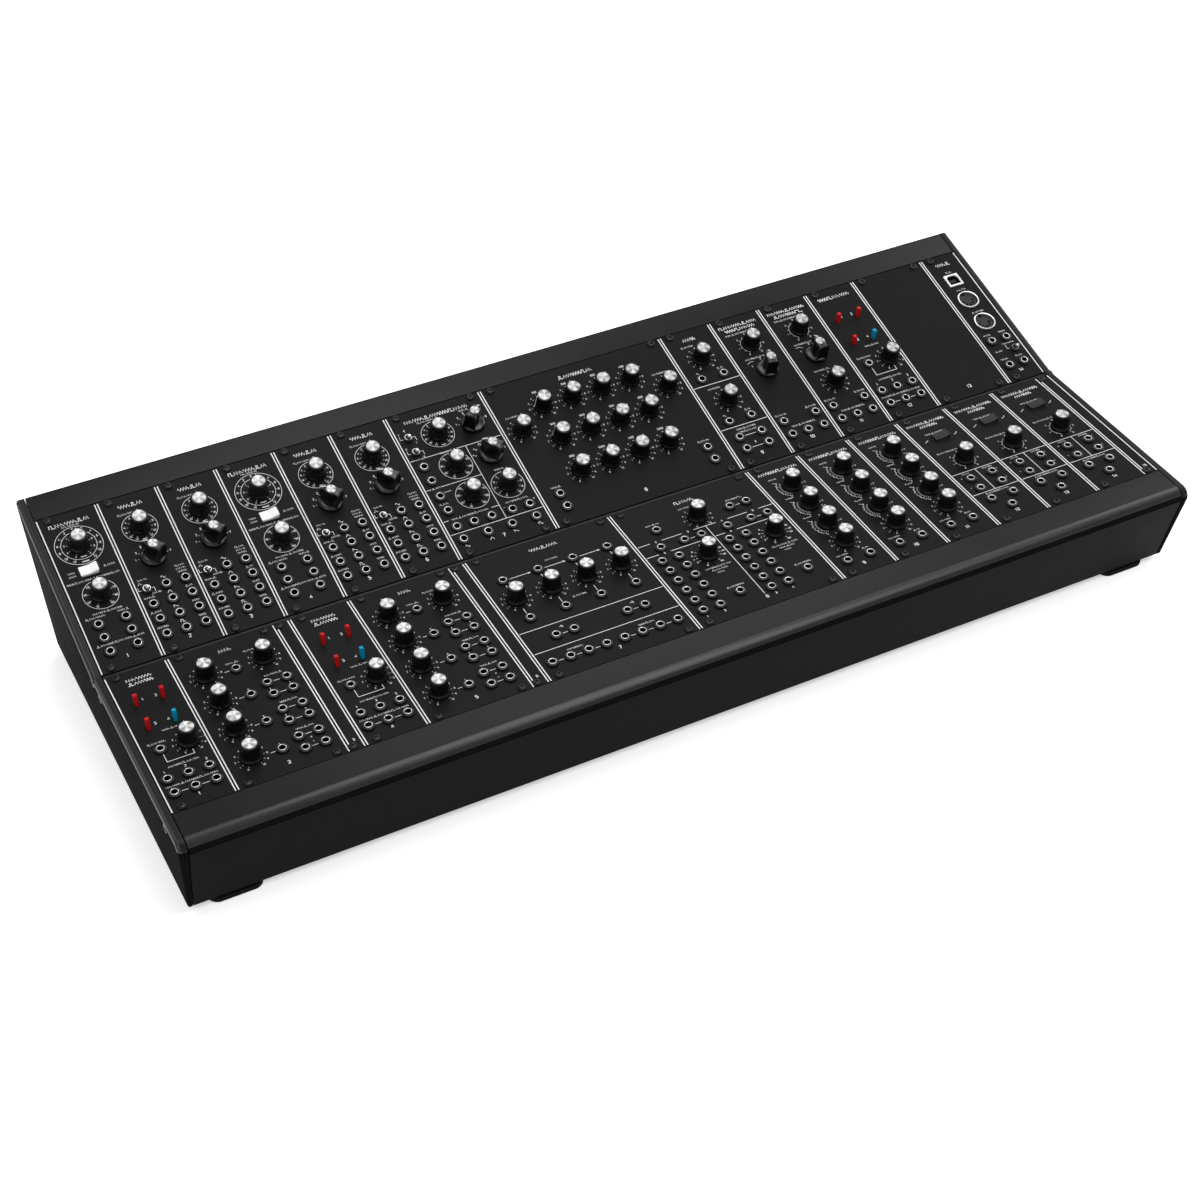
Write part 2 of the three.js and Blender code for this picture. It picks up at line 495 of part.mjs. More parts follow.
moduleNode(lowerRow, 'module_amplifiers', 114, [AMPLIFIER, AMPLIFIER, AMPLIFIER, BLANK_SLIM],
  [[0, 'curve', 'rocker_amplifier_1'], [1, 'gain', 'knob_amplifier_2_gain'], [2, 'curve', 'rocker_amplifier_3']]);

export default group;
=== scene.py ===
import math

import bmesh
import bpy
from mathutils import Matrix, Vector
from mathutils.geometry import tessellate_polygon


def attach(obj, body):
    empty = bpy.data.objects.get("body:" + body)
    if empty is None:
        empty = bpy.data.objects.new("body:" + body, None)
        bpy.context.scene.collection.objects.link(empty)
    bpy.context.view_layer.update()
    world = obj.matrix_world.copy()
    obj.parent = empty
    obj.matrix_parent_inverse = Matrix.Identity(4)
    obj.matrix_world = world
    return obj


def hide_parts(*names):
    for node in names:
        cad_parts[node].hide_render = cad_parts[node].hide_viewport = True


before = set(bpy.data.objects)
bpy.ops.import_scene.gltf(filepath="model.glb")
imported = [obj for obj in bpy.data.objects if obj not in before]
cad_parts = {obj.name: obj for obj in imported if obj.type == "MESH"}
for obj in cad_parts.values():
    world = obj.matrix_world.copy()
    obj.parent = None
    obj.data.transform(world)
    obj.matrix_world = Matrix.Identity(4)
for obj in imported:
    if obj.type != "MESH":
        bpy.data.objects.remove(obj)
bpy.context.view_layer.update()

# ------------------------------------------------------------------ dimensions (mm)
HP = 5.08
ROW_W = 711.2
PANEL_H = 128.5
PANEL_T = 2.0
SEAM = 0.3
TILT = math.radians(15.335)
V0, N0 = 131.43, 0.06
MID_Y, FACE_H, BASE_N = 123.3, 69.0, -64.8
CHEEK_T = 5.7
C = 20.2

CASE = Matrix.Translation((-ROW_W / 2000, -MID_Y / 1000, FACE_H / 1000))
ROW = {
    "L": CASE,
    "U": CASE @ Matrix.Translation((0, V0 / 1000, N0 / 1000)) @ Matrix.Rotation(TILT, 4, "X"),
}


def upper(s, h=0.0):
    return (V0 + s * math.cos(TILT) - h * math.sin(TILT), N0 + s * math.sin(TILT) + h * math.cos(TILT))


# ------------------------------------------------------------------ camera
cam_data = bpy.data.cameras.new("camera")
cam = bpy.data.objects.new("camera", cam_data)
bpy.context.scene.collection.objects.link(cam)
cam_data.lens = 65.907
cam_data.sensor_width = 36
cam_data.clip_start, cam_data.clip_end = 0.05, 200
right = Vector((0.88796, -0.45991, 0.00160))
up_v = Vector((0.29951, 0.58091, 0.75686))
back = -Vector((0.34902, 0.67158, -0.65357))
cam.matrix_world = Matrix((
    (right.x, up_v.x, back.x, -0.54088),
    (right.y, up_v.y, back.y, -1.01453),
    (right.z, up_v.z, back.z, 0.98954),
    (0, 0, 0, 1)))
bpy.context.scene.camera = cam
bpy.context.scene.view_settings.view_transform = "Standard"


# ------------------------------------------------------------------ materials
def material(name, color, rough, metal=0.0, grain=900.0, bump=0.15, rough_var=0.06, tone=0.12,
             coat=0.0, spec=0.5, aniso=0.0, distance=0.00006, stretch=(1, 1, 1), blotch=30.0):
    m = bpy.data.materials.new(name)
    m.use_nodes = True
    nt = m.node_tree
    n, l = nt.nodes, nt.links
    b = n["Principled BSDF"]
    b.inputs["Metallic"].default_value = metal
    b.inputs["Specular IOR Level"].default_value = spec
    b.inputs["Coat Weight"].default_value = coat
    b.inputs["Coat Roughness"].default_value = 0.12
    b.inputs["Anisotropic"].default_value = aniso
    tc = n.new("ShaderNodeTexCoord")
    mp = n.new("ShaderNodeMapping")
    mp.inputs["Scale"].default_value = stretch
    l.new(tc.outputs["Object"], mp.inputs["Vector"])
    big = n.new("ShaderNodeTexNoise")
    big.inputs["Scale"].default_value = blotch
    big.inputs["Detail"].default_value = 3
    l.new(mp.outputs["Vector"], big.inputs["Vector"])
    fine = n.new("ShaderNodeTexNoise")
    fine.inputs["Scale"].default_value = grain
    fine.inputs["Detail"].default_value = 2
    l.new(mp.outputs["Vector"], fine.inputs["Vector"])
    ramp = n.new("ShaderNodeValToRGB")
    ramp.color_ramp.elements[0].position = 0.3
    ramp.color_ramp.elements[1].position = 0.7
    ramp.color_ramp.elements[0].color = (*[c * (1 - tone) for c in color], 1)
    ramp.color_ramp.elements[1].color = (*[min(1, c * (1 + tone)) for c in color], 1)
    mixf = n.new("ShaderNodeMath")
    mixf.operation = "MULTIPLY_ADD"
    mixf.inputs[1].default_value = 0.5
    l.new(big.outputs["Fac"], mixf.inputs[0])
    half = n.new("ShaderNodeMath")
    half.operation = "MULTIPLY"
    half.inputs[1].default_value = 0.5
    l.new(fine.outputs["Fac"], half.inputs[0])
    l.new(half.outputs[0], mixf.inputs[2])
    l.new(mixf.outputs[0], ramp.inputs["Fac"])
    l.new(ramp.outputs["Color"], b.inputs["Base Color"])
    rr = n.new("ShaderNodeMapRange")
    rr.inputs["From Min"].default_value = 0.3
    rr.inputs["From Max"].default_value = 0.7
    rr.inputs["To Min"].default_value = max(0.02, rough - rough_var)
    rr.inputs["To Max"].default_value = min(1, rough + rough_var)
    l.new(mixf.outputs[0], rr.inputs["Value"])
    l.new(rr.outputs["Result"], b.inputs["Roughness"])
    if bump:
        bm = n.new("ShaderNodeBump")
        bm.inputs["Strength"].default_value = bump
        bm.inputs["Distance"].default_value = distance
        l.new(fine.outputs["Fac"], bm.inputs["Height"])
        l.new(bm.outputs["Normal"], b.inputs["Normal"])
    return m


def spun(name, color, rough, aniso):
    """Turned metal: fine concentric marks round the piece's own z axis, and a painted star highlight in its colour."""
    m = material(name, color, rough, metal=1.0, bump=0, aniso=aniso, grain=500, tone=0.05, rough_var=0.05)
    n, l = m.node_tree.nodes, m.node_tree.links
    b = n["Principled BSDF"]
    tg = n.new("ShaderNodeTangent")
    tg.direction_type = "RADIAL"
    tg.axis = "Z"
    l.new(tg.outputs["Tangent"], b.inputs["Tangent"])
    b.inputs["Anisotropic Rotation"].default_value = 0.25
    tc = n.new("ShaderNodeTexCoord")
    # painted highlight: four paler and four darker sectors, and one side paler, multiplied into the colour as the star
    # highlight of turned metal
    sp = n.new("ShaderNodeSeparateXYZ")
    l.new(tc.outputs["Object"], sp.inputs["Vector"])
    th = n.new("ShaderNodeMath")
    th.operation = "ARCTAN2"
    l.new(sp.outputs["Y"], th.inputs[0])
    l.new(sp.outputs["X"], th.inputs[1])
    total = None
    for times, phase, size in ((4, -5.1, 0.22), (1, -1.95, 0.13), (3, 1.0, 0.06)):
        a = n.new("ShaderNodeMath")
        a.operation = "MULTIPLY_ADD"
        a.inputs[1].default_value = times
        a.inputs[2].default_value = phase
        l.new(th.outputs[0], a.inputs[0])
        c = n.new("ShaderNodeMath")
        c.operation = "COSINE"
        l.new(a.outputs[0], c.inputs[0])
        s = n.new("ShaderNodeMath")
        s.operation = "MULTIPLY_ADD"
        s.inputs[1].default_value = size
        s.inputs[2].default_value = 0.66
        l.new(c.outputs[0], s.inputs[0])
        if total:
            s.inputs[2].default_value = 0
            l.new(total.outputs[0], s.inputs[2])
        total = s
    painted_star_tint = n.new("ShaderNodeMixRGB")
    painted_star_tint.blend_type = "MULTIPLY"
    painted_star_tint.inputs["Fac"].default_value = 1.0
    l.new(b.inputs["Base Color"].links[0].from_socket, painted_star_tint.inputs["Color1"])
    l.new(total.outputs[0], painted_star_tint.inputs["Color2"])
    l.new(painted_star_tint.outputs["Color"], b.inputs["Base Color"])
    wave = n.new("ShaderNodeTexWave")
    wave.wave_type = "RINGS"
    wave.rings_direction = "Z"
    wave.inputs["Scale"].default_value = 900
    wave.inputs["Distortion"].default_value = 0.6
    l.new(tc.outputs["Object"], wave.inputs["Vector"])
    bm = n.new("ShaderNodeBump")
    bm.inputs["Strength"].default_value = 0.12
    bm.inputs["Distance"].default_value = 0.00003
    l.new(wave.outputs["Fac"], bm.inputs["Height"])
    l.new(bm.outputs["Normal"], b.inputs["Normal"])
    return m


CASE_M = material("case_paint", (0.0095, 0.0095, 0.0099), 0.33, grain=1500, bump=0.2, rough_var=0.04, spec=0.13)
# painted highlight: a glossier copy of the case paint on the cheeks' rounded top rim, to throw a bright line there
RIM_PAINTED_HIGHLIGHT_M = material("rim_paint_painted_highlight", (0.0080, 0.0080, 0.0084), 0.30, grain=1500, bump=0.12, rough_var=0.03, spec=0.5)
# painted highlight: a more reflective copy of the case paint on the upper nose of the wrist rail, for a brighter
# highlight band
RAIL_PAINTED_HIGHLIGHT_M = material("rail_paint_painted_highlight", (0.0070, 0.0070, 0.0073), 0.35, grain=1500, bump=0.2, rough_var=0.04, spec=0.43)
# painted shade: a darker, almost unreflecting copy of the case paint, for the cheeks' sides and the underside of the
# nose
SHADED_PAINT_M = material("case_paint_painted_shade", (0.0048, 0.0048, 0.0050), 0.45, grain=1500, bump=0.2, rough_var=0.04, spec=0.001)
BASE_M = material("base_paint", (0.0072, 0.0072, 0.0075), 0.46, grain=1500, bump=0.2, spec=0.013)
PANEL_M = material("panel_paint", (0.0062, 0.0062, 0.0064), 0.44, grain=1900, bump=0.16, rough_var=0.05, spec=0.062)
PRINT_M = material("panel_print", (0.66, 0.66, 0.66), 0.6, bump=0.05, tone=0.03, spec=0.2)
KNOB_M = material("knob_black", (0.0032, 0.0032, 0.0034), 0.27, grain=1300, bump=0.08, spec=0.22)
CAP_M = spun("knob_cap", (0.56, 0.56, 0.557), 0.42, 0.82)
# painted light: the lower row's caps take a paler copy of the same cap metal, so that they show brighter than the lamps
# alone make them
LOW_CAP_PAINTED_LIGHT_M = spun("knob_cap_low", (0.76, 0.76, 0.755), 0.42, 0.82)
POINTER_M = material("pointer_black", (0.0026, 0.0026, 0.0027), 0.24, grain=1300, bump=0.06, spec=0.5)
# painted reflection: the metal socket frame is drawn as a pale grey non-metal, its colour standing in for the shine of
# the metal
FRAME_PAINTED_SHEEN_M = material("socket_frame_painted_sheen", (0.72, 0.72, 0.71), 0.42, grain=1300, bump=0.06, tone=0.04, spec=0.4)
INSERT_M = material("insert_plastic", (0.030, 0.030, 0.030), 0.5, grain=1300, bump=0.15, spec=0.12)
NUT_M = material("nut_black", (0.006, 0.006, 0.0065), 0.34, grain=1600, bump=0.06, spec=0.25)
METAL_M = material("jack_metal", (0.70, 0.70, 0.69), 0.28, metal=1.0, grain=1400, bump=0.04, tone=0.04)
CHROME_M = material("toggle_chrome", (0.46, 0.46, 0.455), 0.20, metal=1.0, bump=0.02, tone=0.03, rough_var=0.03)
HOLE_M = material("socket_black", (0.0015, 0.0015, 0.0015), 0.7, bump=0.05, spec=0.05)
SCREW_M = material("screw_black", (0.022, 0.022, 0.022), 0.30, metal=0.8, grain=1200, bump=0.08, spec=0.3)
WHITE_M = material("rocker_white", (0.80, 0.80, 0.78), 0.30, bump=0.03, tone=0.02, coat=0.1, spec=0.4)
GREY_M = material("rocker_grey", (0.011, 0.011, 0.012), 0.42, grain=1500, bump=0.1, spec=0.2)
RED_M = material("paddle_red", (0.46, 0.006, 0.008), 0.36, bump=0.03, tone=0.06, spec=0.16)
BLUE_M = material("paddle_blue", (0.0, 0.24, 0.42), 0.36, bump=0.03, tone=0.06, spec=0.16)
RUBBER_M = material("foot_rubber", (0.0060, 0.0060, 0.0060), 0.75, grain=1200, bump=0.35, spec=0.04)
BOARD_M = material("circuit_board", (0.012, 0.09, 0.03), 0.4, grain=400, bump=0.1, tone=0.3)
INLET_M = material("inlet_plastic", (0.008, 0.008, 0.008), 0.45, grain=1300, bump=0.15, spec=0.2)


# ------------------------------------------------------------------ mesh building (mm)
class Build:
    def __init__(self):
        self.v, self.f, self.m, self.s = [], [], [], []

    def add(self, verts, faces, mat=0, smooth=False):
        o = len(self.v)
        self.v.extend(tuple(p) for p in verts)
        for f in faces:
            self.f.append(tuple(i + o for i in f))
            self.m.append(mat)
            self.s.append(smooth)

    def stamp(self, other, dx=0.0, dy=0.0, dz=0.0, turn=0.0):
        """Another build's faces, turned about z and moved."""
        c, s = math.cos(turn), math.sin(turn)
        o = len(self.v)
        self.v.extend((x * c - y * s + dx, x * s + y * c + dy, z + dz) for x, y, z in other.v)
        self.f.extend(tuple(i + o for i in f) for f in other.f)
        self.m.extend(other.m)
        self.s.extend(other.s)

    def mesh(self, name, sharp=32, weld=False):
        me = bpy.data.meshes.new(name)
        me.from_pydata([(x / 1000, y / 1000, z / 1000) for x, y, z in self.v], [], self.f)
        me.polygons.foreach_set("material_index", self.m)
        me.polygons.foreach_set("use_smooth", self.s)
        bm = bmesh.new()
        bm.from_mesh(me)
        if weld:
            bmesh.ops.remove_doubles(bm, verts=bm.verts, dist=1e-6)
        bmesh.ops.recalc_face_normals(bm, faces=bm.faces)
        bm.to_mesh(me)
        bm.free()
        if any(self.s):
            me.set_sharp_from_angle(angle=math.radians(sharp))
        me.update()
        return me


def loft(b, rings, mat=0, smooth=False, caps=(True, True), closed=False):
    n = len(rings[0])
    verts = [p for r in rings for p in r]
    faces = []
    k = len(rings)
    for i in range(k if closed else k - 1):
        a, c = i * n, ((i + 1) % k) * n
        for j in range(n):
            q = (j + 1) % n
            faces.append((a + j, a + q, c + q, c + j))
    if not closed:
        if caps[0]:
            faces.append(tuple(range(n))[::-1])
        if caps[1]:
            faces.append(tuple(range((k - 1) * n, k * n)))
    b.add(verts, faces, mat, smooth)


def lathe(b, prof, n, x=0.0, y=0.0, mat=0, smooth=True, mod=None):
    """A profile of (radius, z) turned about z. It starts and ends on the axis, or closes on itself."""
    verts, faces, rows = [], [], []
    for r, z in prof:
        if r < 1e-6:
            rows.append([len(verts)])
            verts.append((x, y, z))
        else:
            rows.append(list(range(len(verts), len(verts) + n)))
            for j in range(n):
                a = 2 * math.pi * j / n
                rr = mod(r, z, a) if mod else r
                verts.append((x + rr * math.cos(a), y + rr * math.sin(a), z))
    ring = prof[0][0] > 1e-6
    for i in range(len(rows) if ring else len(rows) - 1):
        a, c = rows[i], rows[(i + 1) % len(rows)]
        if len(a) == 1 and len(c) == 1:
            continue
        for j in range(n):
            q = (j + 1) % n
            if len(a) == 1:
                faces.append((a[0], c[q], c[j]))
            elif len(c) == 1:
                faces.append((a[j], a[q], c[0]))
            else:
                faces.append((a[j], a[q], c[q], c[j]))
    b.add(verts, faces, mat, smooth)


def block(b, x0, x1, y0, y1, z0, z1, r=0.3, mat=0, smooth=True):
    """A block with rounded upper and side edges."""
    out = round_poly([(x0, y0, r * 2), (x1, y0, r * 2), (x1, y1, r * 2), (x0, y1, r * 2)], 4)
    cx, cy = (x0 + x1) / 2, (y0 + y1) / 2
    rings = [[(px, py, z0) for px, py in out]]
    for k in range(5):
        a = math.pi / 2 * k / 4
        d = r * (1 - math.cos(a))
        fx, fy = 1 - d / ((x1 - x0) / 2), 1 - d / ((y1 - y0) / 2)
        rings.append([(cx + (px - cx) * fx, cy + (py - cy) * fy, z1 - r + r * math.sin(a)) for px, py in out])
    loft(b, rings, mat, smooth)


def round_poly(pts, seg=6):
    """Corners (x, y, radius) to an outline with arcs."""
    out = []
    n = len(pts)
    for i in range(n):
        p = Vector(pts[i][:2])
        r = pts[i][2]
        a, c = Vector(pts[i - 1][:2]), Vector(pts[(i + 1) % n][:2])
        d1, d2 = (a - p).normalized(), (c - p).normalized()
        ang = d1.angle(d2)
        if r < 1e-6 or ang > math.pi - 1e-3:
            out.append((p.x, p.y))
            continue
        t = min(r / math.tan(ang / 2), (a - p).length * 0.49, (c - p).length * 0.49)
        rr = t * math.tan(ang / 2)
        mid = (d1 + d2).normalized()
        centre = p + mid * (rr / math.sin(ang / 2))
        s, e = p + d1 * t - centre, p + d2 * t - centre
        a0 = math.atan2(s.y, s.x)
        da = (math.atan2(e.y, e.x) - a0 + math.pi) % (2 * math.pi) - math.pi
        for k in range(seg + 1):
            q = a0 + da * k / seg
            out.append((centre.x + rr * math.cos(q), centre.y + rr * math.sin(q)))
    return out


def inset(outline, d):
    """The outline moved inwards by d."""
    n = len(outline)
    area = sum(outline[i][0] * outline[(i + 1) % n][1] - outline[(i + 1) % n][0] * outline[i][1] for i in range(n))
    sign = 1 if area > 0 else -1
    out = []
    for i in range(n):
        p, a, c = Vector(outline[i]), Vector(outline[i - 1]), Vector(outline[(i + 1) % n])
        e1, e2 = (p - a), (c - p)
        if e1.length < 1e-6:
            e1 = e2
        if e2.length < 1e-6:
            e2 = e1
        e1.normalize()
        e2.normalize()
        n1, n2 = Vector((-e1.y, e1.x)) * sign, Vector((-e2.y, e2.x)) * sign
        m = n1 + n2
        m = m / max(0.3, m.length_squared / 2)
        out.append((p.x + m.x * d, p.y + m.y * d))
    return out


def along_x(b, outline, x0, x1, edge=0.0, mat=0, smooth=True):
    """A section (y, z) run along x, with its end edges rounded off by edge."""
    if edge:
        first = [[(x0 + edge * (1 - math.cos(math.pi / 2 * k / 3)), p, q)
                  for p, q in inset(outline, edge * (1 - math.sin(math.pi / 2 * k / 3)))] for k in range(4)]
        last = [[(x1 - (x - x0), p, q) for x, p, q in r] for r in reversed(first)]
        rings = first + last
    else:
        rings = [[(x0, p, q) for p, q in outline], [(x1, p, q) for p, q in outline]]
    loft(b, rings, mat, smooth)


def circle(x, y, r, n=24, turn=0.0):
    return [(x + r * math.cos(turn + 2 * math.pi * i / n), y + r * math.sin(turn + 2 * math.pi * i / n)) for i in range(n)]


def plate(b, outer, holes, z_top, z_low, bevel=0.25, mat=0):
    """A flat plate with holes, and a small chamfer round its upper outer edge."""
    loops = [inset(outer, bevel)] + holes
    flat = [p for lp in loops for p in lp]
    tris = tessellate_polygon([[Vector((p[0], p[1], 0)) for p in lp] for lp in loops])
    low_loops = [outer] + holes
    low_flat = [p for lp in low_loops for p in lp]
    nt = len(flat)
    verts = [(p[0], p[1], z_top) for p in flat] + [(p[0], p[1], z_low) for p in low_flat]
    no = len(outer)
    verts += [(p[0], p[1], z_top - bevel) for p in outer]
    faces = [tuple(t) for t in tris] + [tuple(i + nt for i in reversed(t)) for t in tris]
    base = 2 * nt
    for j in range(no):
        q = (j + 1) % no
        faces.append((j, q, base + q, base + j))
        faces.append((base + j, base + q, nt + q, nt + j))
    o = no
    for h in holes:
        k = len(h)
        for j in range(k):
            q = (j + 1) % k
            faces.append((o + j, o + q, nt + o + q, nt + o + j))
        o += k
    b.add(verts, faces, mat, False)


LINKED = {}


def put(name, mesh, mats, matrix, body="root", replaces=(), slot=None):
    """A named piece from a mesh (shared between like pieces) on a body."""
    for m in mats:
        if m.name not in [x.name for x in mesh.materials]:
            mesh.materials.append(m)
    ob = bpy.data.objects.new(name, mesh)
    bpy.context.scene.collection.objects.link(ob)
    ob.matrix_world = matrix
    LINKED[name] = (ob, body, replaces, slot)
    return ob


def piece(name, build, mats, matrix, body="root", replaces=(), slot=None, sharp=32, weld=False):
    return put(name, build.mesh(name, sharp, weld), mats, matrix, body, replaces, slot)


# ------------------------------------------------------------------ panel print
PRINT_Z0, PRINT_Z1 = -0.02, 0.05


class Print:
    def __init__(self):
        self.b = Build()

    def strip(self, pts, w, closed=False):
        pts = [Vector(p) for p in pts]
        n = len(pts)
        left, rite = [], []
        for i in range(n):
            if closed:
                a, c = pts[i - 1], pts[(i + 1) % n]
            else:
                a, c = pts[max(0, i - 1)], pts[min(n - 1, i + 1)]
            d1 = (pts[i] - a) if (pts[i] - a).length > 1e-9 else (c - pts[i])
            d2 = (c - pts[i]) if (c - pts[i]).length > 1e-9 else (pts[i] - a)
            d1, d2 = d1.normalized(), d2.normalized()
            m = Vector((-d1.y, d1.x)) + Vector((-d2.y, d2.x))
            m = m / max(0.5, m.length_squared / 2)
            left.append(pts[i] + m * w / 2)
            rite.append(pts[i] - m * w / 2)
        verts = []
        for i in range(n):
            for p, z in ((left[i], PRINT_Z1), (rite[i], PRINT_Z1), (rite[i], PRINT_Z0), (left[i], PRINT_Z0)):
                verts.append((p.x, p.y, z))
        faces = []
        for i in range(n if closed else n - 1):
            a, c = i * 4, ((i + 1) % n) * 4
            for k in range(4):
                faces.append((a + k, a + (k + 1) % 4, c + (k + 1) % 4, c + k))
        if not closed:
            faces += [(3, 2, 1, 0), tuple((n - 1) * 4 + k for k in range(4))]
        self.b.add(verts, faces)

    def line(self, x0, y0, x1, y1, w=0.45):
        self.strip([(x0, y0), (x1, y1)], w)

    def shape(self, pts):
        n = len(pts)
        self.b.add([(x, y, PRINT_Z0) for x, y in pts] + [(x, y, PRINT_Z1) for x, y in pts],
                   [tuple(range(n))[::-1], tuple(range(n, 2 * n))]
                   + [(i, (i + 1) % n, n + (i + 1) % n, n + i) for i in range(n)])

    def dot(self, x, y, r=0.4):
        self.shape(circle(x, y, r, 10))

    def ring(self, x, y, r, w=0.42):
        self.strip(circle(x, y, r, 72), w, True)

    def arc(self, x, y, r, a0, a1, w=0.42):
        k = max(3, int(abs(a1 - a0) / 5))
        self.strip([polar(x, y, r, a0 + (a1 - a0) * i / k) for i in range(k + 1)], w)

    def num(self, x, y, text, h=1.55, w=None):
        w = w or h * 0.19
        widths = [GLYPH[ch][0] * h for ch in text]
        total = sum(widths) + 0.30 * h * (len(text) - 1)
        px = x - total / 2
        for ch, cw in zip(text, widths):
            for pts, closed in GLYPH[ch][1]:
                self.strip([(px + a * h, y - h / 2 + c * h) for a, c in pts], w, closed)
            px += cw + 0.30 * h

    def wave(self, kind, x, y, w, h, cycles=1.0, t=0.36):
        pts = []
        if kind == "sine":
            k = int(14 * cycles)
            pts = [(x - w / 2 + w * i / k, y + h / 2 * math.sin(2 * math.pi * cycles * i / k)) for i in range(k + 1)]
        else:
            form = {
                "tri": [(0, 0), (0.25, 1), (0.75, -1), (1, 0)],
                "peak": [(0, -1), (0.5, 1), (1, -1)],
                "saw": [(0, -1), (0, 1), (1, -1)],
                "square": [(0, -1), (0, 1), (0.5, 1), (0.5, -1), (1, -1)],
                "pulse": [(0, -1), (0.3, -1), (0.3, 1), (0.6, 1), (0.6, -1), (1, -1)],
                "low": [(0, 0.9), (0.5, 0.9), (0.72, 0.4), (1, -1)],
                "high": [(0, -1), (0.28, 0.4), (0.5, 0.9), (1, 0.9)],
                "band": [(0, -1), (0.3, 0.5), (0.5, 1), (0.7, 0.5), (1, -1)],
                "adsr": [(0, -1), (0.2, 1), (0.42, 0.1), (0.74, 0.1), (1, -1)],
                "steps": [(0, -1), (0.25, -1), (0.25, -0.3), (0.5, -0.3), (0.5, 0.3), (0.75, 0.3), (0.75, 1), (1, 1)],
                "noise": [(0, 0), (0.08, 0.7), (0.16, -0.4), (0.25, 1), (0.33, -0.9), (0.42, 0.3), (0.5, -0.6),
                          (0.6, 0.9), (0.68, -1), (0.77, 0.5), (0.85, -0.3), (0.92, 0.6), (1, 0)],
            }[kind]
            for k in range(int(cycles)):
                for a, c in form:
                    p = (x - w / 2 + w * (k + a) / cycles, y + c * h / 2)
                    if not pts or (Vector(p) - Vector(pts[-1])).length > 1e-6:
                        pts.append(p)
        self.strip(pts, t)

    def bracket(self, x, y, w, drop=0.9, t=0.32, gap=0.0):
        """A group mark: a bar over a group with its ends turned down."""
        a, c = x - w / 2, x + w / 2
        if gap:
            self.strip([(a, y - drop), (a, y), (x - gap / 2, y)], t)
            self.strip([(x + gap / 2, y), (c, y), (c, y - drop)], t)
        else:
            self.strip([(a, y - drop), (a, y), (c, y), (c, y - drop)], t)

    def arrow(self, x, y, w=3.4, out=False, t=0.34):
        """A small arrow, down into the panel's jack or up out of it."""
        s = 1 if out else -1
        self.strip([(x, y - s * w * 0.3), (x, y + s * w * 0.15)], t)
        self.shape([(x - 0.75, y + s * w * 0.08), (x + 0.75, y + s * w * 0.08), (x, y + s * w * 0.42)][::s])

    def run(self, x, y, w, h=1.5, seed=0):
        """A row of small wave shapes about as long and as high as a printed caption."""
        big = h > 2.2
        pitch = 2.05 if big else 1.3
        t = 0.46 if big else 0.20
        kinds = ("square", "saw", "tri", "pulse", "peak", "sine")
        total = max(2, round(w / pitch))
        left, k, px = total, seed, x - total * pitch / 2
        while left > 0:
            n = min(left, 2 + (k * 7 + seed * 3) % 3)
            if left - n == 1:
                n = left
            span = n * pitch
            kind = kinds[k % 6]
            turns = max(1, n // 2) if kind in ("square", "pulse") else n
            self.wave(kind, px + span / 2 - 0.12, y, span - 0.55, h - t, turns, t)
            px += span
            left -= n
            k += 1

    def edges(self, hp, left=True, rite=True, short=False):
        w = hp * HP
        lo, hi = (5.6, 122.6) if short else (0.9, PANEL_H - 0.9)
        if left:
            self.line(0.95, lo, 0.95, hi, 0.76)
        if rite:
            self.line(w - 0.95, 0.9, w - 0.95, PANEL_H - 0.9, 0.76)

    # scales
    def scale(self, x, y, marks, r=10.25, h=1.45, ticks=(7.7, 9.0), w=0.28, nw=None):
        for a, text in marks:
            if ticks:
                p, q = polar(x, y, ticks[0], a), polar(x, y, ticks[1], a)
                self.strip([p, q], w)
            if text:
                self.num(*polar(x, y, r, a), text, h, nw)

    def dial(self, x, y):
        self.scale(x, y, [(-150 + 30 * i, str(i)) for i in range(11)], 10.0, 1.25, (7.6, 8.25), 0.28, 0.21)

    def dial7(self, x, y):
        self.arc(x, y, 7.45, -150, 150, 0.2)
        self.scale(x, y, [(-150 + 50 * i, str(i)) for i in range(7)] + [(-125 + 50 * i, "") for i in range(6)], 10.0, 1.3, (7.4, 8.5), 0.26, 0.22)

    def ring_semi(self, x, y, r):
        self.ring(x, y, r - 0.4, 0.3)
        self.scale(x, y, [(-150 + 25 * i, str(abs(12 - 2 * i))) for i in range(13)], r - 2.15, 1.35, (7.5, 8.2))
        self.arc(x, y, r - 1.9, 172, 188, 0.6)

    def ring_tens(self, x, y, r):
        self.ring(x, y, r - 0.4, 0.3)
        self.scale(x, y, [(-150 + 37.5 * i, str(10 + 10 * i)) for i in range(9)], r - 2.0, 1.35, (7.5, 8.3))

    def pointer_scale(self, x, y, step, count, r=11.6):
        for i in range(count):
            a = (i - (count - 1) / 2) * step
            self.num(*polar(x, y, r, a), str(i + 1), 1.55)
            self.strip([polar(x, y, 9.3, a), polar(x, y, 10.1, a)], 0.3)


def polar(x, y, r, a):
    """a in degrees, clockwise from straight up"""
    q = math.radians(a)
    return (x + r * math.sin(q), y + r * math.cos(q))


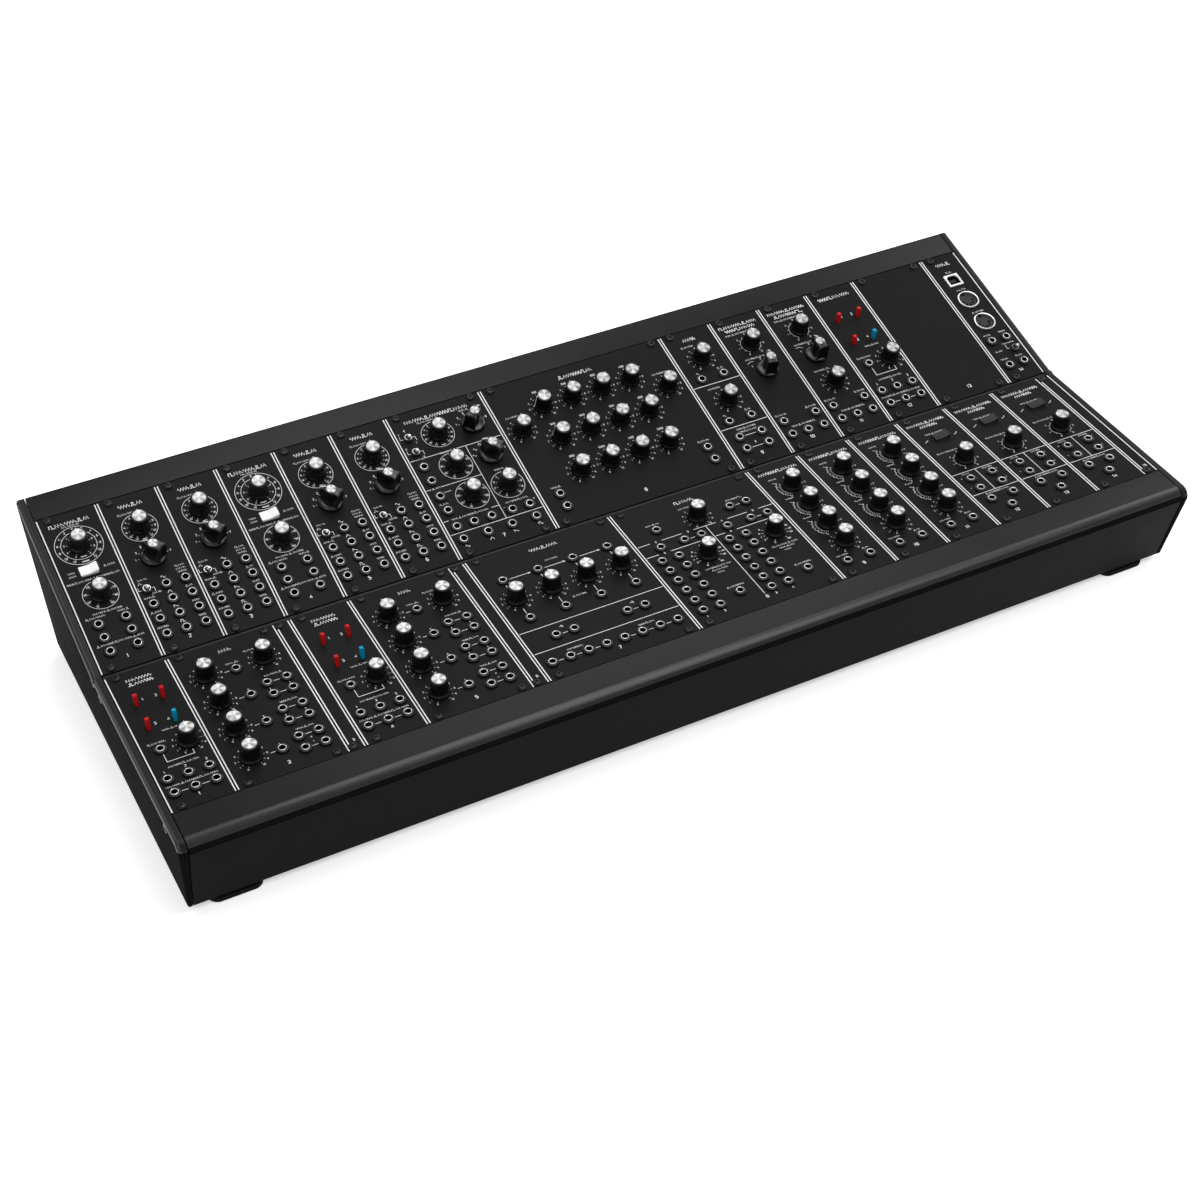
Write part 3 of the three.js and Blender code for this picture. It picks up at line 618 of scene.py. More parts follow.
GLYPH = {
    "0": (0.56, [([(0, .2), (.14, .03), (.42, .03), (.56, .2), (.56, .8), (.42, .97), (.14, .97), (0, .8)], True)]),
    "1": (0.30, [([(0, .78), (.2, .97), (.2, 0)], False)]),
    "2": (0.56, [([(0, .8), (.12, .97), (.44, .97), (.56, .82), (.56, .64), (0, .03), (.56, .03)], False)]),
    "3": (0.56, [([(0, .86), (.12, .97), (.44, .97), (.56, .84), (.56, .66), (.42, .53), (.2, .53)], False),
                 ([(.42, .53), (.56, .4), (.56, .16), (.44, .03), (.12, .03), (0, .14)], False)]),
    "4": (0.58, [([(.42, 0), (.42, .97), (0, .3), (.58, .3)], False)]),
    "5": (0.56, [([(.54, .97), (.05, .97), (.05, .56), (.42, .58), (.56, .44), (.56, .16), (.43, .03), (.1, .03), (0, .13)], False)]),
    "6": (0.56, [([(.48, .97), (.2, .97), (0, .72), (0, .18), (.14, .03), (.42, .03), (.56, .18), (.56, .4), (.42, .55), (.06, .55)], False)]),
    "7": (0.56, [([(0, .97), (.56, .97), (.2, 0)], False)]),
    "8": (0.56, [([(.14, .54), (0, .67), (0, .84), (.13, .97), (.43, .97), (.56, .84), (.56, .67), (.42, .54)], True),
                 ([(.14, .50), (.42, .50), (.56, .37), (.56, .16), (.43, .03), (.13, .03), (0, .16), (0, .37)], True)]),
    "9": (0.56, [([(.08, .03), (.36, .03), (.56, .28), (.56, .82), (.42, .97), (.14, .97), (0, .82), (0, .6), (.14, .45), (.5, .45)], False)]),
    "+": (0.6, [([(0, .5), (.6, .5)], False), ([(.3, .2), (.3, .8)], False)]),
    "-": (0.5, [([(0, .5), (.5, .5)], False)]),
}


# ------------------------------------------------------------------ print of each kind of module
def print_driver(p):
    p.edges(8)
    p.run(19.9, 119.6, 26.8, 3.0, 0)
    p.run(20, 117.0, 12, 1.3, 1)
    p.ring(20.1, 100.2, 15.4, 0.3)
    p.ring(20.1, 100.2, 11.4, 0.3)
    p.scale(20.1, 100.2, [(-150 + 25 * i, str(abs(12 - 2 * i))) for i in range(13)], 13.55, 1.5, (11.4, 12.2))
    p.scale(20.1, 100.2, [(-150 + 37.5 * i, str(abs(4 - i))) for i in range(9)], 9.5, 1.3, (7.4, 8.1))
    p.arc(20.1, 100.2, 13.5, 170, 190, 0.75)
    p.arc(20.1, 100.2, 9.5, 168, 192, 0.6)
    p.run(8.4, 80.4, 5.6, 1.5, 2)
    p.run(8.4, 77.7, 5.6, 1.5, 4)
    p.run(32.8, 79.2, 8, 1.5, 3)
    p.run(20.2, 72.2, 34.5, 1.5, 5)
    p.ring_tens(20.2, 58.9, 11.8)
    p.run(20.1, 45.4, 19.3, 1.5, 1)
    p.run(11.3, 42.8, 13.0, 1.5, 0)
    p.run(29.3, 42.8, 7.4, 1.5, 2)
    p.run(20, 21.1, 31, 1.5, 3)


def print_oscillator(p):
    p.edges(8)
    p.run(20.2, 119.6, 16.4, 3.0, 2)
    p.run(16, 113.4, 12.5, 1.5, 0)
    p.ring_semi(20.1, 100.2, 11.9)
    p.pointer_scale(C, 74.6, 28, 7)
    p.run(7.2, 60.0, 6.0, 1.4, 1)
    p.run(4.6, 57.2, 4.4, 1.4, 3)
    p.strip([(2.2, 54.8), (2.2, 52), (3.9, 52)], 0.32)
    p.strip([(10.6, 52), (12.3, 52), (12.3, 48.8)], 0.32)
    p.run(12.6, 47.6, 6.4, 1.4, 4)
    for i, s in enumerate((45.2, 33.2, 21.0)):
        p.run(6.9, s, 7.6, 1.4, i + 2)
    for i, s in enumerate((62.7, 60.2, 57.7)):
        p.run(33.1, s, 6.5, 1.4, i)
    for i, s in enumerate((45.5, 33.3, 21.1)):
        p.run(33.1, s, 5.6, 1.4, i + 3)
    for s, k in ((57.6, "sine"), (45.5, "peak"), (33.4, "saw"), (21.2, "square")):
        p.wave(k, 20.2, s, 2.9, 1.9, 1, 0.34)


def print_vco(p):
    p.edges(14)
    p.run(35.0, 119.6, 47.3, 3.0, 1)
    p.run(26.0, 116.6, 12.5, 1.4, 0)
    p.run(54.2, 116.6, 7.5, 1.4, 2)
    p.ring_semi(29.3, 103.3, 11.8)
    p.ring_tens(29.5, 73.8, 11.8)
    p.ring_tens(29.6, 47.0, 11.8)
    p.ring(55.7, 46.6, 11.4, 0.3)
    p.scale(55.7, 46.6, [(-150 + 30 * i, str(i)) for i in range(11)], 9.7, 1.35, (7.5, 8.3))
    p.pointer_scale(55.5, 102.8, 29.2, 6)
    p.wave("tri", 47.3, 81.7, 2.6, 1.8, 1, 0.32)
    p.wave("sine", 44.9, 76.9, 2.8, 1.6, 1, 0.32)
    p.num(67.4, 76.7, "1", 1.6)
    p.wave("square", 52.6, 84.6, 2.6, 1.6, 1, 0.32)
    for s, t in ((106.7, "1"), (93.5, "2")):
        p.strip([(3.2, s + 2.6), (3.2, s), (5.1, s)], 0.32)
        p.strip([(11.8, s), (13.8, s), (13.8, s - 3.4)], 0.32)
        p.num(3.6, s + 4.6, t, 1.5)
        p.num(12.6, s - 5.2, t, 1.5)
    p.arrow(8.6, 113.3, 3, True)
    p.line(1.9, 87.2, 5.4, 87.2, 0.42)
    p.run(9, 87.2, 6.2, 1.4, 1)
    p.line(12.6, 87.2, 68.9, 87.2, 0.42)
    p.line(1.9, 60.6, 5.4, 60.6, 0.42)
    p.run(9, 60.6, 6.2, 1.4, 3)
    p.line(12.6, 60.6, 42.6, 60.6, 0.42)
    p.line(42.6, 87.2, 42.6, 20.9, 0.42)
    p.line(1.9, 32.6, 5.6, 32.6, 0.42)
    p.line(37, 32.6, 42.6, 32.6, 0.42)
    p.run(21.2, 32.6, 27, 1.5, 2)
    p.run(55.6, 32.6, 17, 1.5, 4)
    p.num(44.9, 29.4, "-", 1.6)
    p.num(67.0, 29.6, "+", 1.8)
    p.run(15.6, 55.4, 5.4, 1.3, 1)
    p.run(8.5, 46.4, 6.0, 1.3, 0)
    p.run(55.7, 60.6, 8.0, 1.4, 5)
    p.run(29.5, 87.0, 12.0, 1.4, 0)
    p.line(1.9, 20.9, 69.2, 20.9, 0.42)
    for u, k in ((9, "sine"), (26.6, "peak"), (44.5, "saw"), (62.5, "square")):
        p.wave(k, u, 9.2, 3.0, 1.9, 1, 0.34)


def print_bank(p):
    p.edges(28)
    p.run(70.5, 119.4, 26, 3.0, 3)
    hz = {100.5: (100, 200, 300, 400), 70.3: (500, 600, 700, 800), 40: (900, 1000, 1100, 1200)}
    for s, vals in hz.items():
        for u, t in zip((36.5, 59.3, 82.2, 105), vals):
            p.dial(u, s)
            p.num(u - 0.6, s + 13.2, str(t), 1.5)
    p.dial(13.8, 85.5)
    p.dial(127.8, 85.5)
    p.run(12.2, 98.6, 10.5, 1.5, 1)
    p.run(126.6, 98.6, 11, 1.5, 4)
    p.run(13.8, 32.5, 7.6, 1.5, 2)
    p.run(128.0, 32.5, 9.4, 1.5, 0)


def print_filters(p):
    p.edges(8)
    p.run(20.2, 119.6, 9.6, 3.0, 4)
    for s, k in ((100.5, "low"), (59.2, "high")):
        p.dial(C, s)
        p.run(15.5, s + 13.1, 10.4, 1.4, len(k))
    for s in (88.3, 47.2):
        p.run(11.1, s, 2.6, 1.5, 0)
        p.run(29.0, s, 4.6, 1.5, 3)
    p.line(1.9, 76.5, 38.8, 76.5, 0.45)
    p.line(1.9, 35.8, 38.8, 35.8, 0.45)
    p.run(20.1, 32.9, 16, 1.5, 2)
    p.run(20.1, 30.1, 16, 1.5, 5)
    p.line(15.8, 26.4, 24.8, 26.4, 0.36)
    p.num(20.2, 19.2, "3", 1.6)
    p.line(15.8, 15.4, 24.8, 15.4, 0.36)


def print_pass(p, kind, emphasis):
    p.edges(8)
    p.run(20.0, 120.2, 30, 2.6, 1 if emphasis else 0)
    p.run(20.0, 116.4, 24, 2.6, 3 if emphasis else 5)
    p.run(18.8, 112.5, 26, 1.5, 2)
    p.dial7(C, 100.3)
    p.run(17.2, 87.4, 17, 1.5, 4)
    p.wave(kind, 11.6, 84.3, 5.2, 1.5, 1, 0.3)
    for a, t in ((-56, "1"), (0, "2"), (56, "3")):
        p.num(*polar(C, 74.8, 10.9, a), t, 1.5)
    if emphasis:
        p.dial(C, 47.1)
        p.run(17.0, 60.3, 13, 1.4, 1)
    p.run(8.2, 33.7, 9, 1.5, 0)
    p.run(32.6, 33.7, 9, 1.5, 3)
    p.run(20.3, 21.5, 19, 1.5, 2)


def print_controller(p, tall=True):
    p.edges(8)
    if tall:
        p.run(20.2, 119.8, 16.5, 2.8, 1)
        p.run(20.2, 115.8, 16.5, 2.8, 3)
    else:
        p.run(20.2, 119.6, 26.7, 3.0, 5)
    for u, s, t in ((16.1, 100.2, "1"), (24.6, 100.2, "2"), (16.2, 76.6, "3"), (24.7, 76.9, "4")):
        p.num(u, s, t, 2.1, 0.36)
    p.run(23.4, 68.6, 11.5, 1.4, 2)
    p.run(11.5, 59.9, 12, 1.5, 0)
    p.strip([(11.9, 49.6), (11.9, 41.8), (29, 41.8), (29, 45.6)], 0.42)
    p.dial(29.2, 53)
    p.run(20.4, 37.2, 19, 1.5, 4)
    for u, t in ((7.4, "1"), (20.4, "2"), (33.4, "3")):
        p.num(u, 34.2, t, 1.7)
    p.run(20.3, 21.4, 32, 1.5, 1)
    p.line(11.5, 15.3, 16.0, 15.3, 0.36)
    p.line(24.4, 15.3, 28.9, 15.3, 0.36)


def print_mixer(p):
    p.edges(14)
    p.run(35.4, 119.6, 8.6, 3.0, 1)
    for s in (101.5, 75.3, 48.8, 22.4):
        p.dial(16.6, s)
        p.line(28.2, s - 1.5, 31.4, s - 1.5, 0.36)
    p.dial(54.6, 101.2)
    p.run(35.4, 106.4, 8.5, 1.5, 2)
    p.run(49.0, 112.8, 7.6, 1.5, 0)
    for i, s in enumerate((104.6, 78.6, 52.3, 26.0)):
        if i:
            p.num(35.6, s, str(i + 1), 1.5)
    for top, lab in ((79.2, 85.7), (53.0, 59.3), (26.6, 32.8)):
        p.run(54.5, lab, 11.4, 1.5, int(lab))
        p.line(52.3, top, 56.6, top, 0.36)
        p.line(52.3, top - 11.2, 56.6, top - 11.2, 0.36)
    for s in (73.2, 47.0):
        p.line(48.1, s + 1.1, 48.1, s - 1.1, 0.36)
        p.line(60.9, s + 1.1, 60.9, s - 1.1, 0.36)
    p.num(54.8, 22.8, "+", 1.8)
    p.num(54.8, 18.9, "-", 1.8)


def print_attenuators(p):
    p.edges(21)
    p.run(53.5, 119.6, 19.5, 3.0, 2)
    p.run(53.2, 106.3, 8.6, 1.5, 1)
    for u in (15, 40.3, 65.6, 91):
        p.dial(u, 79.4)
        p.line(u, 95.2, u, 92.2, 0.4)
        p.line(u, 69.6, u, 63.8, 0.4)
    for u in (15, 40.3, 65.7):
        p.line(u + 4.9, 100, u + 18.6, 100, 0.42)
        p.shape([(u + 18.2, 99.1), (u + 20.2, 100), (u + 18.2, 100.9)])
    p.run(53.3, 65.6, 11, 1.5, 3)
    p.line(1.9, 48.1, 104.8, 48.1, 0.45)
    p.num(28.7, 43.4, "-5", 1.7)
    p.num(79.4, 43.4, "+5", 1.7)
    p.line(26.9, 37.1, 30.6, 37.1, 0.36)
    p.line(77.6, 37.1, 81.2, 37.1, 0.36)
    p.line(1.9, 26.8, 104.8, 26.8, 0.45)
    for g in (0, 1):
        x = 27.8 + g * 50.8
        p.run(x, 21.7, 11.5, 1.5, 4 + g)
        for i in range(3):
            u = 8.8 + (g * 4 + i) * 12.69
            p.line(u + 4.6, 15.2, u + 8.1, 15.2, 0.36)


def print_interface(p):
    p.edges(21)
    p.run(52.8, 119.6, 14.5, 3.0, 0)
    p.run(49.6, 112.8, 9.0, 1.5, 1)
    p.run(21.6, 106.5, 10, 1.5, 2)
    p.run(84.4, 106.7, 13, 1.5, 4)
    p.line(82.2, 100.1, 85.7, 100.1, 0.36)
    p.dial(52.8, 100)
    p.line(37.8, 82.8, 41.4, 82.8, 0.36)
    p.line(88.7, 82.8, 92.3, 82.8, 0.36)
    for a, c in ((1.9, 11), (20, 35), (44, 61), (70, 85), (94, 104.8)):
        p.line(a, 89.7, c, 89.7, 0.45)
    for u, t in ((15.4, "2"), (39.6, "3"), (65.6, "4"), (89.6, "5")):
        p.num(u, 89.7, t, 1.6)
    p.line(53.1, 89.7, 53.1, 11.9, 0.45)
    for a, c in ((1.9, 11), (20, 44), (54.2, 61), (70, 97)):
        p.line(a, 77.2, c, 77.2, 0.45)
    for u in (15.4, 65.6):
        p.num(u, 77.2, "6", 1.6)
    for u, j in ((39.9, 40.1), (91, 90.9)):
        p.scale(u, 62.6, [(-150, "0"), (-112, "2"), (-92, "4"), (-72, "6"), (-50, "8"), (0, "10"), (50, "20"),
                          (72, "30"), (92, "40"), (112, "50"), (150, "60")], 10.8, 1.35, (7.8, 9.1))
        p.run(j, 49.5, 19, 1.5, int(j))
        p.run(j, 46.7, 11.5, 1.5, int(j) + 2)
        p.run(j - 1, 43.8, 5.6, 1.5, 1)
        p.run(j, 27.3, 13, 1.5, 3)
    for u, t in ((9.4, "1"), (22.1, "2"), (60.1, "3"), (72.7, "4")):
        p.num(u, 9.2, t, 1.8)


def print_envelope(p):
    p.edges(8)
    p.run(20.2, 119.8, 30, 3.0, 4)
    for s in (100.4, 77.3, 54.1):
        for i in range(13):
            a = -150 + 8.4 * i
            p.strip([polar(C, s, 7.7, a), polar(C, s, 8.9, a)], 0.24)
            p.num(*polar(C, s, 10.4 if i % 2 else 10.9, a), str((i * 2) % 10), 1.05, 0.22)
        p.scale(C, s, [(0, "5"), (60, "6"), (90, "7"), (120, "8")], 10.3, 1.4)
        p.strip([polar(C, s, 10.4, -52), polar(C, s, 13.6, -52)], 0.3)
        p.run(11.6, s + 11.9, 6.4, 1.3, int(s))
    p.dial(C, 33)
    p.run(11.3, 21.8, 9.6, 1.5, 1)
    p.run(28.9, 21.8, 4.8, 1.5, 3)


def print_amplifier(p):
    p.edges(8)
    p.run(20.0, 120.0, 30, 2.8, 1)
    p.run(20.0, 116.0, 14.6, 2.8, 4)
    p.run(19.0, 106.9, 15, 1.5, 2)
    p.strip([(6.6, 99.3), (10, 101.1)], 0.36)
    p.strip([(30.5, 99.2), (32, 99.5), (33, 100.2), (33.6, 101.4)], 0.36)
    p.run(14.6, 84.3, 17, 1.5, 0)
    p.dial7(C, 71.4)
    p.line(1.9, 59.2, 38.8, 59.2, 0.45)
    p.line(1.9, 34.4, 38.8, 34.4, 0.45)
    p.line(20.2, 59.2, 20.2, 34.4, 0.45)
    p.run(11.3, 57.2, 7, 1.4, 1)
    p.run(29.0, 57.2, 8.4, 1.4, 4)
    for u, s, t in ((5.6, 53.6, "+"), (5.6, 42, "-"), (34.4, 53.6, "-"), (34.4, 42, "+")):
        p.num(u, s, t, 1.6)
    p.run(20.2, 32.3, 19, 1.5, 3)


def print_midi(p):
    p.edges(6)
    p.run(15.1, 119.6, 11.5, 3.0, 2)
    p.run(15.2, 111.0, 5.0, 1.5, 0)
    p.run(15.2, 92.6, 7.5, 1.5, 1)
    p.run(15.1, 69.1, 11.0, 1.5, 3)
    p.run(8.7, 46.1, 6.0, 1.4, 4)
    p.run(21.8, 46.1, 6.0, 1.4, 5)
    p.strip([(16.6, 33.6), (16.6, 29.6), (18.2, 29.6)], 0.32)
    p.run(20.4, 34.7, 10.6, 1.4, 1)
    p.run(8.8, 29.4, 6.4, 1.4, 3)
    p.run(8.8, 21.6, 6.0, 1.4, 2)
    p.run(21.8, 21.6, 6.0, 1.4, 0)


# ------------------------------------------------------------------ layouts (mm from each module's lower left corner)
J2, J3 = [11.1, 28.8], [7.3, 20.2, 33.1]


def grid(us, ss):
    return [(u, s) for s in ss for u in us]


BLOCK6 = [69.6, 58.8, 47.9, 36.9, 25.9, 15]
KINDS = {
    "driver": dict(hp=8, jacks=grid([11.2, 29.0], [36.8, 26.0, 14.9]), draw=print_driver,
                   knobs={"tune": (C, 100, "knob"), "width": (C, 59, "knob"), "octave": (19.6, 78.8, "rocker_white")}),
    "oscillator": dict(hp=8, jacks=[(7.3, 39.3), (7.3, 27.2), (7.3, 15)] + grid([20.2, 33.1], [51.5, 39.3, 27.2, 15]),
                       draw=print_oscillator,
                       knobs={"frequency": (C, 100.5, "knob"), "range": (C, 74.6, "pointer", -40), "sync": (7.3, 51.4, "toggle")}),
    "vco": dict(hp=14, jacks=[(8.5, 79.5), (8.5, 66.9), (8.5, 52.8), (8.5, 40.2)]
                + [(u, 25.8) for u in (8.5, 21.2, 34, 49.2, 62)] + [(u, 14.9) for u in (8.5, 26.3, 44, 61.9)],
                draw=print_vco,
                knobs={"frequency": (29.3, 103.3, "knob"), "range": (55.5, 102.8, "pointer", 49),
                       "sync_a": (8.4, 106.1, "toggle"), "sync_b": (8.4, 92.9, "toggle"), "width": (29.5, 73.8, "knob"),
                       "fine": (29.6, 47, "knob"), "wave": (55.7, 73.8, "pointer", -40), "level": (55.7, 46.6, "knob")}),
    "bank": dict(hp=28, jacks=grid([13.8, 127.9], [26.1, 15]), draw=print_bank,
                 knobs={"a1": (36.5, 100.5, "knob", -85), "a2": (59.3, 100.5, "knob", -10), "a3": (82.2, 100.5, "knob", 40),
                        "a4": (105, 100.5, "knob", 88), "low": (13.8, 85.5, "knob"), "high": (127.8, 85.5, "knob", -25),
                        "b1": (36.5, 70.3, "knob", -60), "b2": (59.3, 70.3, "knob", 15), "b3": (82.2, 70.3, "knob", 62),
                        "b4": (105, 70.3, "knob", 5), "c1": (36.5, 40, "knob", 75), "c2": (59.3, 40, "knob", -5),
                        "c3": (82.2, 40, "knob", 30), "c4": (105, 40, "knob", -15)}),
    "filters": dict(hp=8, jacks=grid(J2, [82.3, 41.1, 26, 15.1]), draw=print_filters,
                    knobs={"high": (C, 100.5, "knob"), "low": (C, 59.2, "knob", 20)}),
    "highpass": dict(hp=8, jacks=[(7.2, 27.4), (33.1, 27.4)] + grid(J3, [15]),
                     draw=lambda p: print_pass(p, "high", False),
                     knobs={"cutoff": (C, 100.3, "knob", 10), "mode": (C, 74.8, "pointer", 14)}),
    "lowpass": dict(hp=8, jacks=[(7.2, 27.4), (33.1, 27.4)] + grid(J3, [15]),
                    draw=lambda p: print_pass(p, "low", True),
                    knobs={"cutoff": (C, 100.3, "knob", 35), "mode": (C, 74.8, "pointer", 0), "emphasis": (C, 47.1, "knob")}),
    "controller": dict(hp=8, jacks=[(11.6, 53.1)] + grid(J3, [27.3, 15]), draw=print_controller,
                       knobs={"p1": (11.4, 97.3, "paddle_red"), "p2": (28.3, 97.3, "paddle_red"),
                              "p3": (11.4, 74.3, "paddle_red"), "p4": (28.3, 74.3, "paddle_blue"), "level": (29.2, 53, "knob")}),
    "blank_wide": dict(hp=12, jacks=[], draw=lambda p: p.edges(12), knobs={}),
    "blank_slim": dict(hp=2, jacks=[], draw=lambda p: p.edges(2, short=True), knobs={}),
    "midi": dict(hp=6, jacks=grid([8.8, 21.6], [39.8, 15.2]), draw=print_midi, knobs={"mode": (21.8, 28, "toggle")},
                 usb=[(14.4, 102.7)], din=[(14.3, 81.5), (14.3, 58.4)]),
    "mixer": dict(hp=14, jacks=[(35.6, s) for s in (99.5, 73.2, 46.9, 20.6)] + grid([48.1, 60.9], [78.7, 67.6, 52.5, 41.3, 26, 14.8]),
                  draw=print_mixer,
                  knobs={"in1": (16.6, 101.5, "knob", -20), "in2": (16.6, 75.3, "knob", 10), "in3": (16.6, 48.8, "knob", 30),
                         "in4": (16.6, 22.4, "knob"), "master": (54.6, 101.2, "knob")}),
    "attenuators": dict(hp=21, jacks=grid([15, 40.3, 65.7, 91], [99.8, 59]) + [(u, 36.9) for u in (22.3, 35.1, 73, 85.7)]
                        + [(8.8 + i * 12.69, 15) for i in range(8)], draw=print_attenuators,
                        knobs={"in1": (15, 79.4, "knob", -30), "in2": (40.3, 79.4, "knob"), "in3": (65.6, 79.4, "knob", 12),
                               "in4": (91, 79.4, "knob", 50)}),
    "interface": dict(hp=21, jacks=[(21.4, 99.8), (77.6, 99.8), (90.3, 99.8)] + [(u, 82.4) for u in (15.4, 33.2, 46, 66, 84, 96.8)]
                      + grid([9.4, 22.1], BLOCK6) + [(39.9, 20.7)] + grid([60.1, 72.7], BLOCK6) + [(90.9, 20.6)],
                      draw=print_interface,
                      knobs={"in1": (52.8, 100, "knob", -12), "in2": (39.9, 62.5, "knob"), "in3": (91, 62.7, "knob", 8)}),
    "envelope": dict(hp=8, jacks=grid(J2, [15]), draw=print_envelope,
                     knobs={"attack": (C, 100.4, "knob"), "decay": (C, 77.3, "knob", 10), "sustain": (C, 54.1, "knob", -15),
                            "release": (C, 33, "knob")}),
    "amplifier": dict(hp=8, jacks=grid(J2, [50.7, 39, 26]) + [(C, 15)], draw=print_amplifier,
                      knobs={"curve": (C, 100.5, "rocker_grey"), "gain": (C, 71.4, "knob")}),
}

KINDS["voltages"] = dict(KINDS["controller"], draw=lambda p: print_controller(p, False))

# row, name, start unit, kind, {control key: CAD body}, CAD node that holds the module
MODULES = [
    ("U", "driver_a", 0, "driver", {"tune": "knob_driver_a_tune", "octave": "rocker_driver_a_octave"}, "module_driver_a"),
    ("U", "oscillator_1", 8, "oscillator", {"range": "pointer_oscillator_1_range", "sync": "toggle_oscillator_1_sync"}, "module_oscillators_a"),
    ("U", "oscillator_2", 16, "oscillator", {"frequency": "knob_oscillator_2_frequency"}, "module_oscillators_a"),
    ("U", "driver_b", 24, "driver", {"width": "knob_driver_b_width"}, "module_driver_b"),
    ("U", "oscillator_3", 32, "oscillator", {"range": "pointer_oscillator_3_range"}, "module_oscillators_b"),
    ("U", "oscillator_4", 40, "oscillator", {"frequency": "knob_oscillator_4_frequency"}, "module_oscillators_b"),
    ("U", "vco", 48, "vco", {"frequency": "knob_vco_frequency", "range": "pointer_vco_range"}, "module_vco"),
    ("U", "filter_bank", 62, "bank", {"low": "knob_filter_bank_low"}, "module_filter_bank"),
    ("U", "filters", 90, "filters", {"high": "knob_filters_high"}, "module_filters"),
    ("U", "highpass", 98, "highpass", {"mode": "pointer_highpass_mode"}, "module_filters"),
    ("U", "lowpass", 106, "lowpass", {"emphasis": "knob_lowpass_emphasis"}, "module_filters"),
    ("U", "voltages", 114, "voltages", {"p2": "paddle_voltages_red", "level": "knob_voltages_level"}, "module_control_voltages"),
    ("U", "blank_wide", 122, "blank_wide", {}, "module_blank_wide"),
    ("U", "midi", 134, "midi", {"mode": "toggle_midi_mode"}, "module_midi"),
    ("L", "controller_a", 0, "controller", {"p4": "paddle_controller_a_blue", "level": "knob_controller_a_level"}, "module_controller_a"),
    ("L", "mixer_a", 8, "mixer", {"master": "knob_mixer_a_master"}, "module_mixer_a"),
    ("L", "blank_slim_a", 22, "blank_slim", {}, "module_mixer_a"),
    ("L", "controller_b", 24, "controller", {"p1": "paddle_controller_b_red"}, "module_controller_b"),
    ("L", "mixer_b", 32, "mixer", {"in4": "knob_mixer_b_input"}, "module_mixer_b"),
    ("L", "blank_slim_b", 46, "blank_slim", {}, "module_mixer_b"),
    ("L", "attenuators", 48, "attenuators", {"in2": "knob_attenuator_second"}, "module_attenuators"),
    ("L", "interface", 69, "interface", {"in2": "knob_interface_left"}, "module_interface"),
    ("L", "envelope_1", 90, "envelope", {"attack": "knob_envelope_1_attack"}, "module_envelopes"),
    ("L", "envelope_2", 98, "envelope", {}, "module_envelopes"),
    ("L", "envelope_3", 106, "envelope", {"release": "knob_envelope_3_release"}, "module_envelopes"),
    ("L", "amplifier_1", 114, "amplifier", {"curve": "rocker_amplifier_1"}, "module_amplifiers"),
    ("L", "amplifier_2", 122, "amplifier", {"gain": "knob_amplifier_2_gain"}, "module_amplifiers"),
    ("L", "amplifier_3", 130, "amplifier", {"curve": "rocker_amplifier_3"}, "module_amplifiers"),
    ("L", "blank_slim_c", 138, "blank_slim", {}, "module_amplifiers"),
]


# ------------------------------------------------------------------ control shapes
def make_knob():
    b = Build()
    flutes, n = 28, 168

    def mod(r, z, a):
        if not 2.95 < z < 11.45:
            return r
        k = min(1.0, (z - 2.95) / 0.7, (11.45 - z) / 0.5)
        return r - 0.30 * k * (0.5 + 0.5 * math.cos(flutes * a)) ** 2

    prof = [(0, 0.7), (3.2, 0.7), (3.2, 0.5), (6.6, 0.5), (6.95, 0.75), (6.95, 1.35), (6.75, 1.7), (6.15, 2.45), (6.08, 2.9),
            (6.06, 3.6), (5.98, 5), (5.9, 6.8), (5.8, 8.4), (5.7, 10), (5.64, 11.0), (5.6, 11.5), (5.42, 11.8), (5.1, 11.9),
            (4.75, 11.9), (4.7, 11.6), (0, 11.6)]
    lathe(b, prof, n, mod=mod)
    # indicator line up the side and over the rim
    path = [(6.0, 1.2), (7.02, 1.2), (6.82, 1.78), (6.22, 2.5), (6.16, 3.6), (5.72, 10.9), (5.66, 11.56), (5.44, 11.88), (4.85, 11.96), (4.85, 11.6), (5.3, 11.1), (5.6, 3.2)]
    n_p = len(path)
    w = 0.34
    b.add([(-w, r, z) for r, z in path] + [(w, r, z) for r, z in path],
          [tuple(range(n_p))[::-1], tuple(range(n_p, 2 * n_p))]
          + [(i, (i + 1) % n_p, n_p + (i + 1) % n_p, n_p + i) for i in range(n_p)], 1)
    return b.mesh("knob_round", 40)


def make_cap(r, z, dome=0.22):
    b = Build()
    lathe(b, [(0, z - 0.35), (r, z - 0.35), (r, z + 0.12), (r - 0.12, z + 0.24), (r * 0.93, z + 0.27), (r * 0.8, z + 0.30 + dome * 0.25),
              (r * 0.6, z + 0.30 + dome * 0.55), (r * 0.35, z + 0.30 + dome * 0.85), (r * 0.12, z + 0.30 + dome), (0, z + 0.30 + dome)], 64)
    return b.mesh("cap", 50)


GRIP = [(0, 7.75), (0.9, 7.7), (1.45, 7.4), (1.85, 6.4), (2.3, 5.2), (3.0, 3.6), (3.55, 2.2), (3.85, 0.8), (3.85, -0.7), (3.55, -2.2),
        (3.3, -3.4), (3.4, -4.8), (3.8, -6.1), (4.25, -6.95), (4.0, -7.15), (3.1, -6.85), (1.7, -6.6), (0, -6.5)]


def smooth_loop(half, sub=3):
    pts = half + [(-x, y) for x, y in reversed(half[1:-1])]
    out = []
    n = len(pts)
    for i in range(n):
        p0, p1, p2, p3 = (Vector(pts[(i + k - 1) % n]) for k in range(4))
        for j in range(sub):
            t = j / sub
            out.append(tuple(0.5 * ((2 * p1) + (p2 - p0) * t + (2 * p0 - 5 * p1 + 4 * p2 - p3) * t * t
                                    + (3 * p1 - p0 - 3 * p2 + p3) * t ** 3)))
    return out


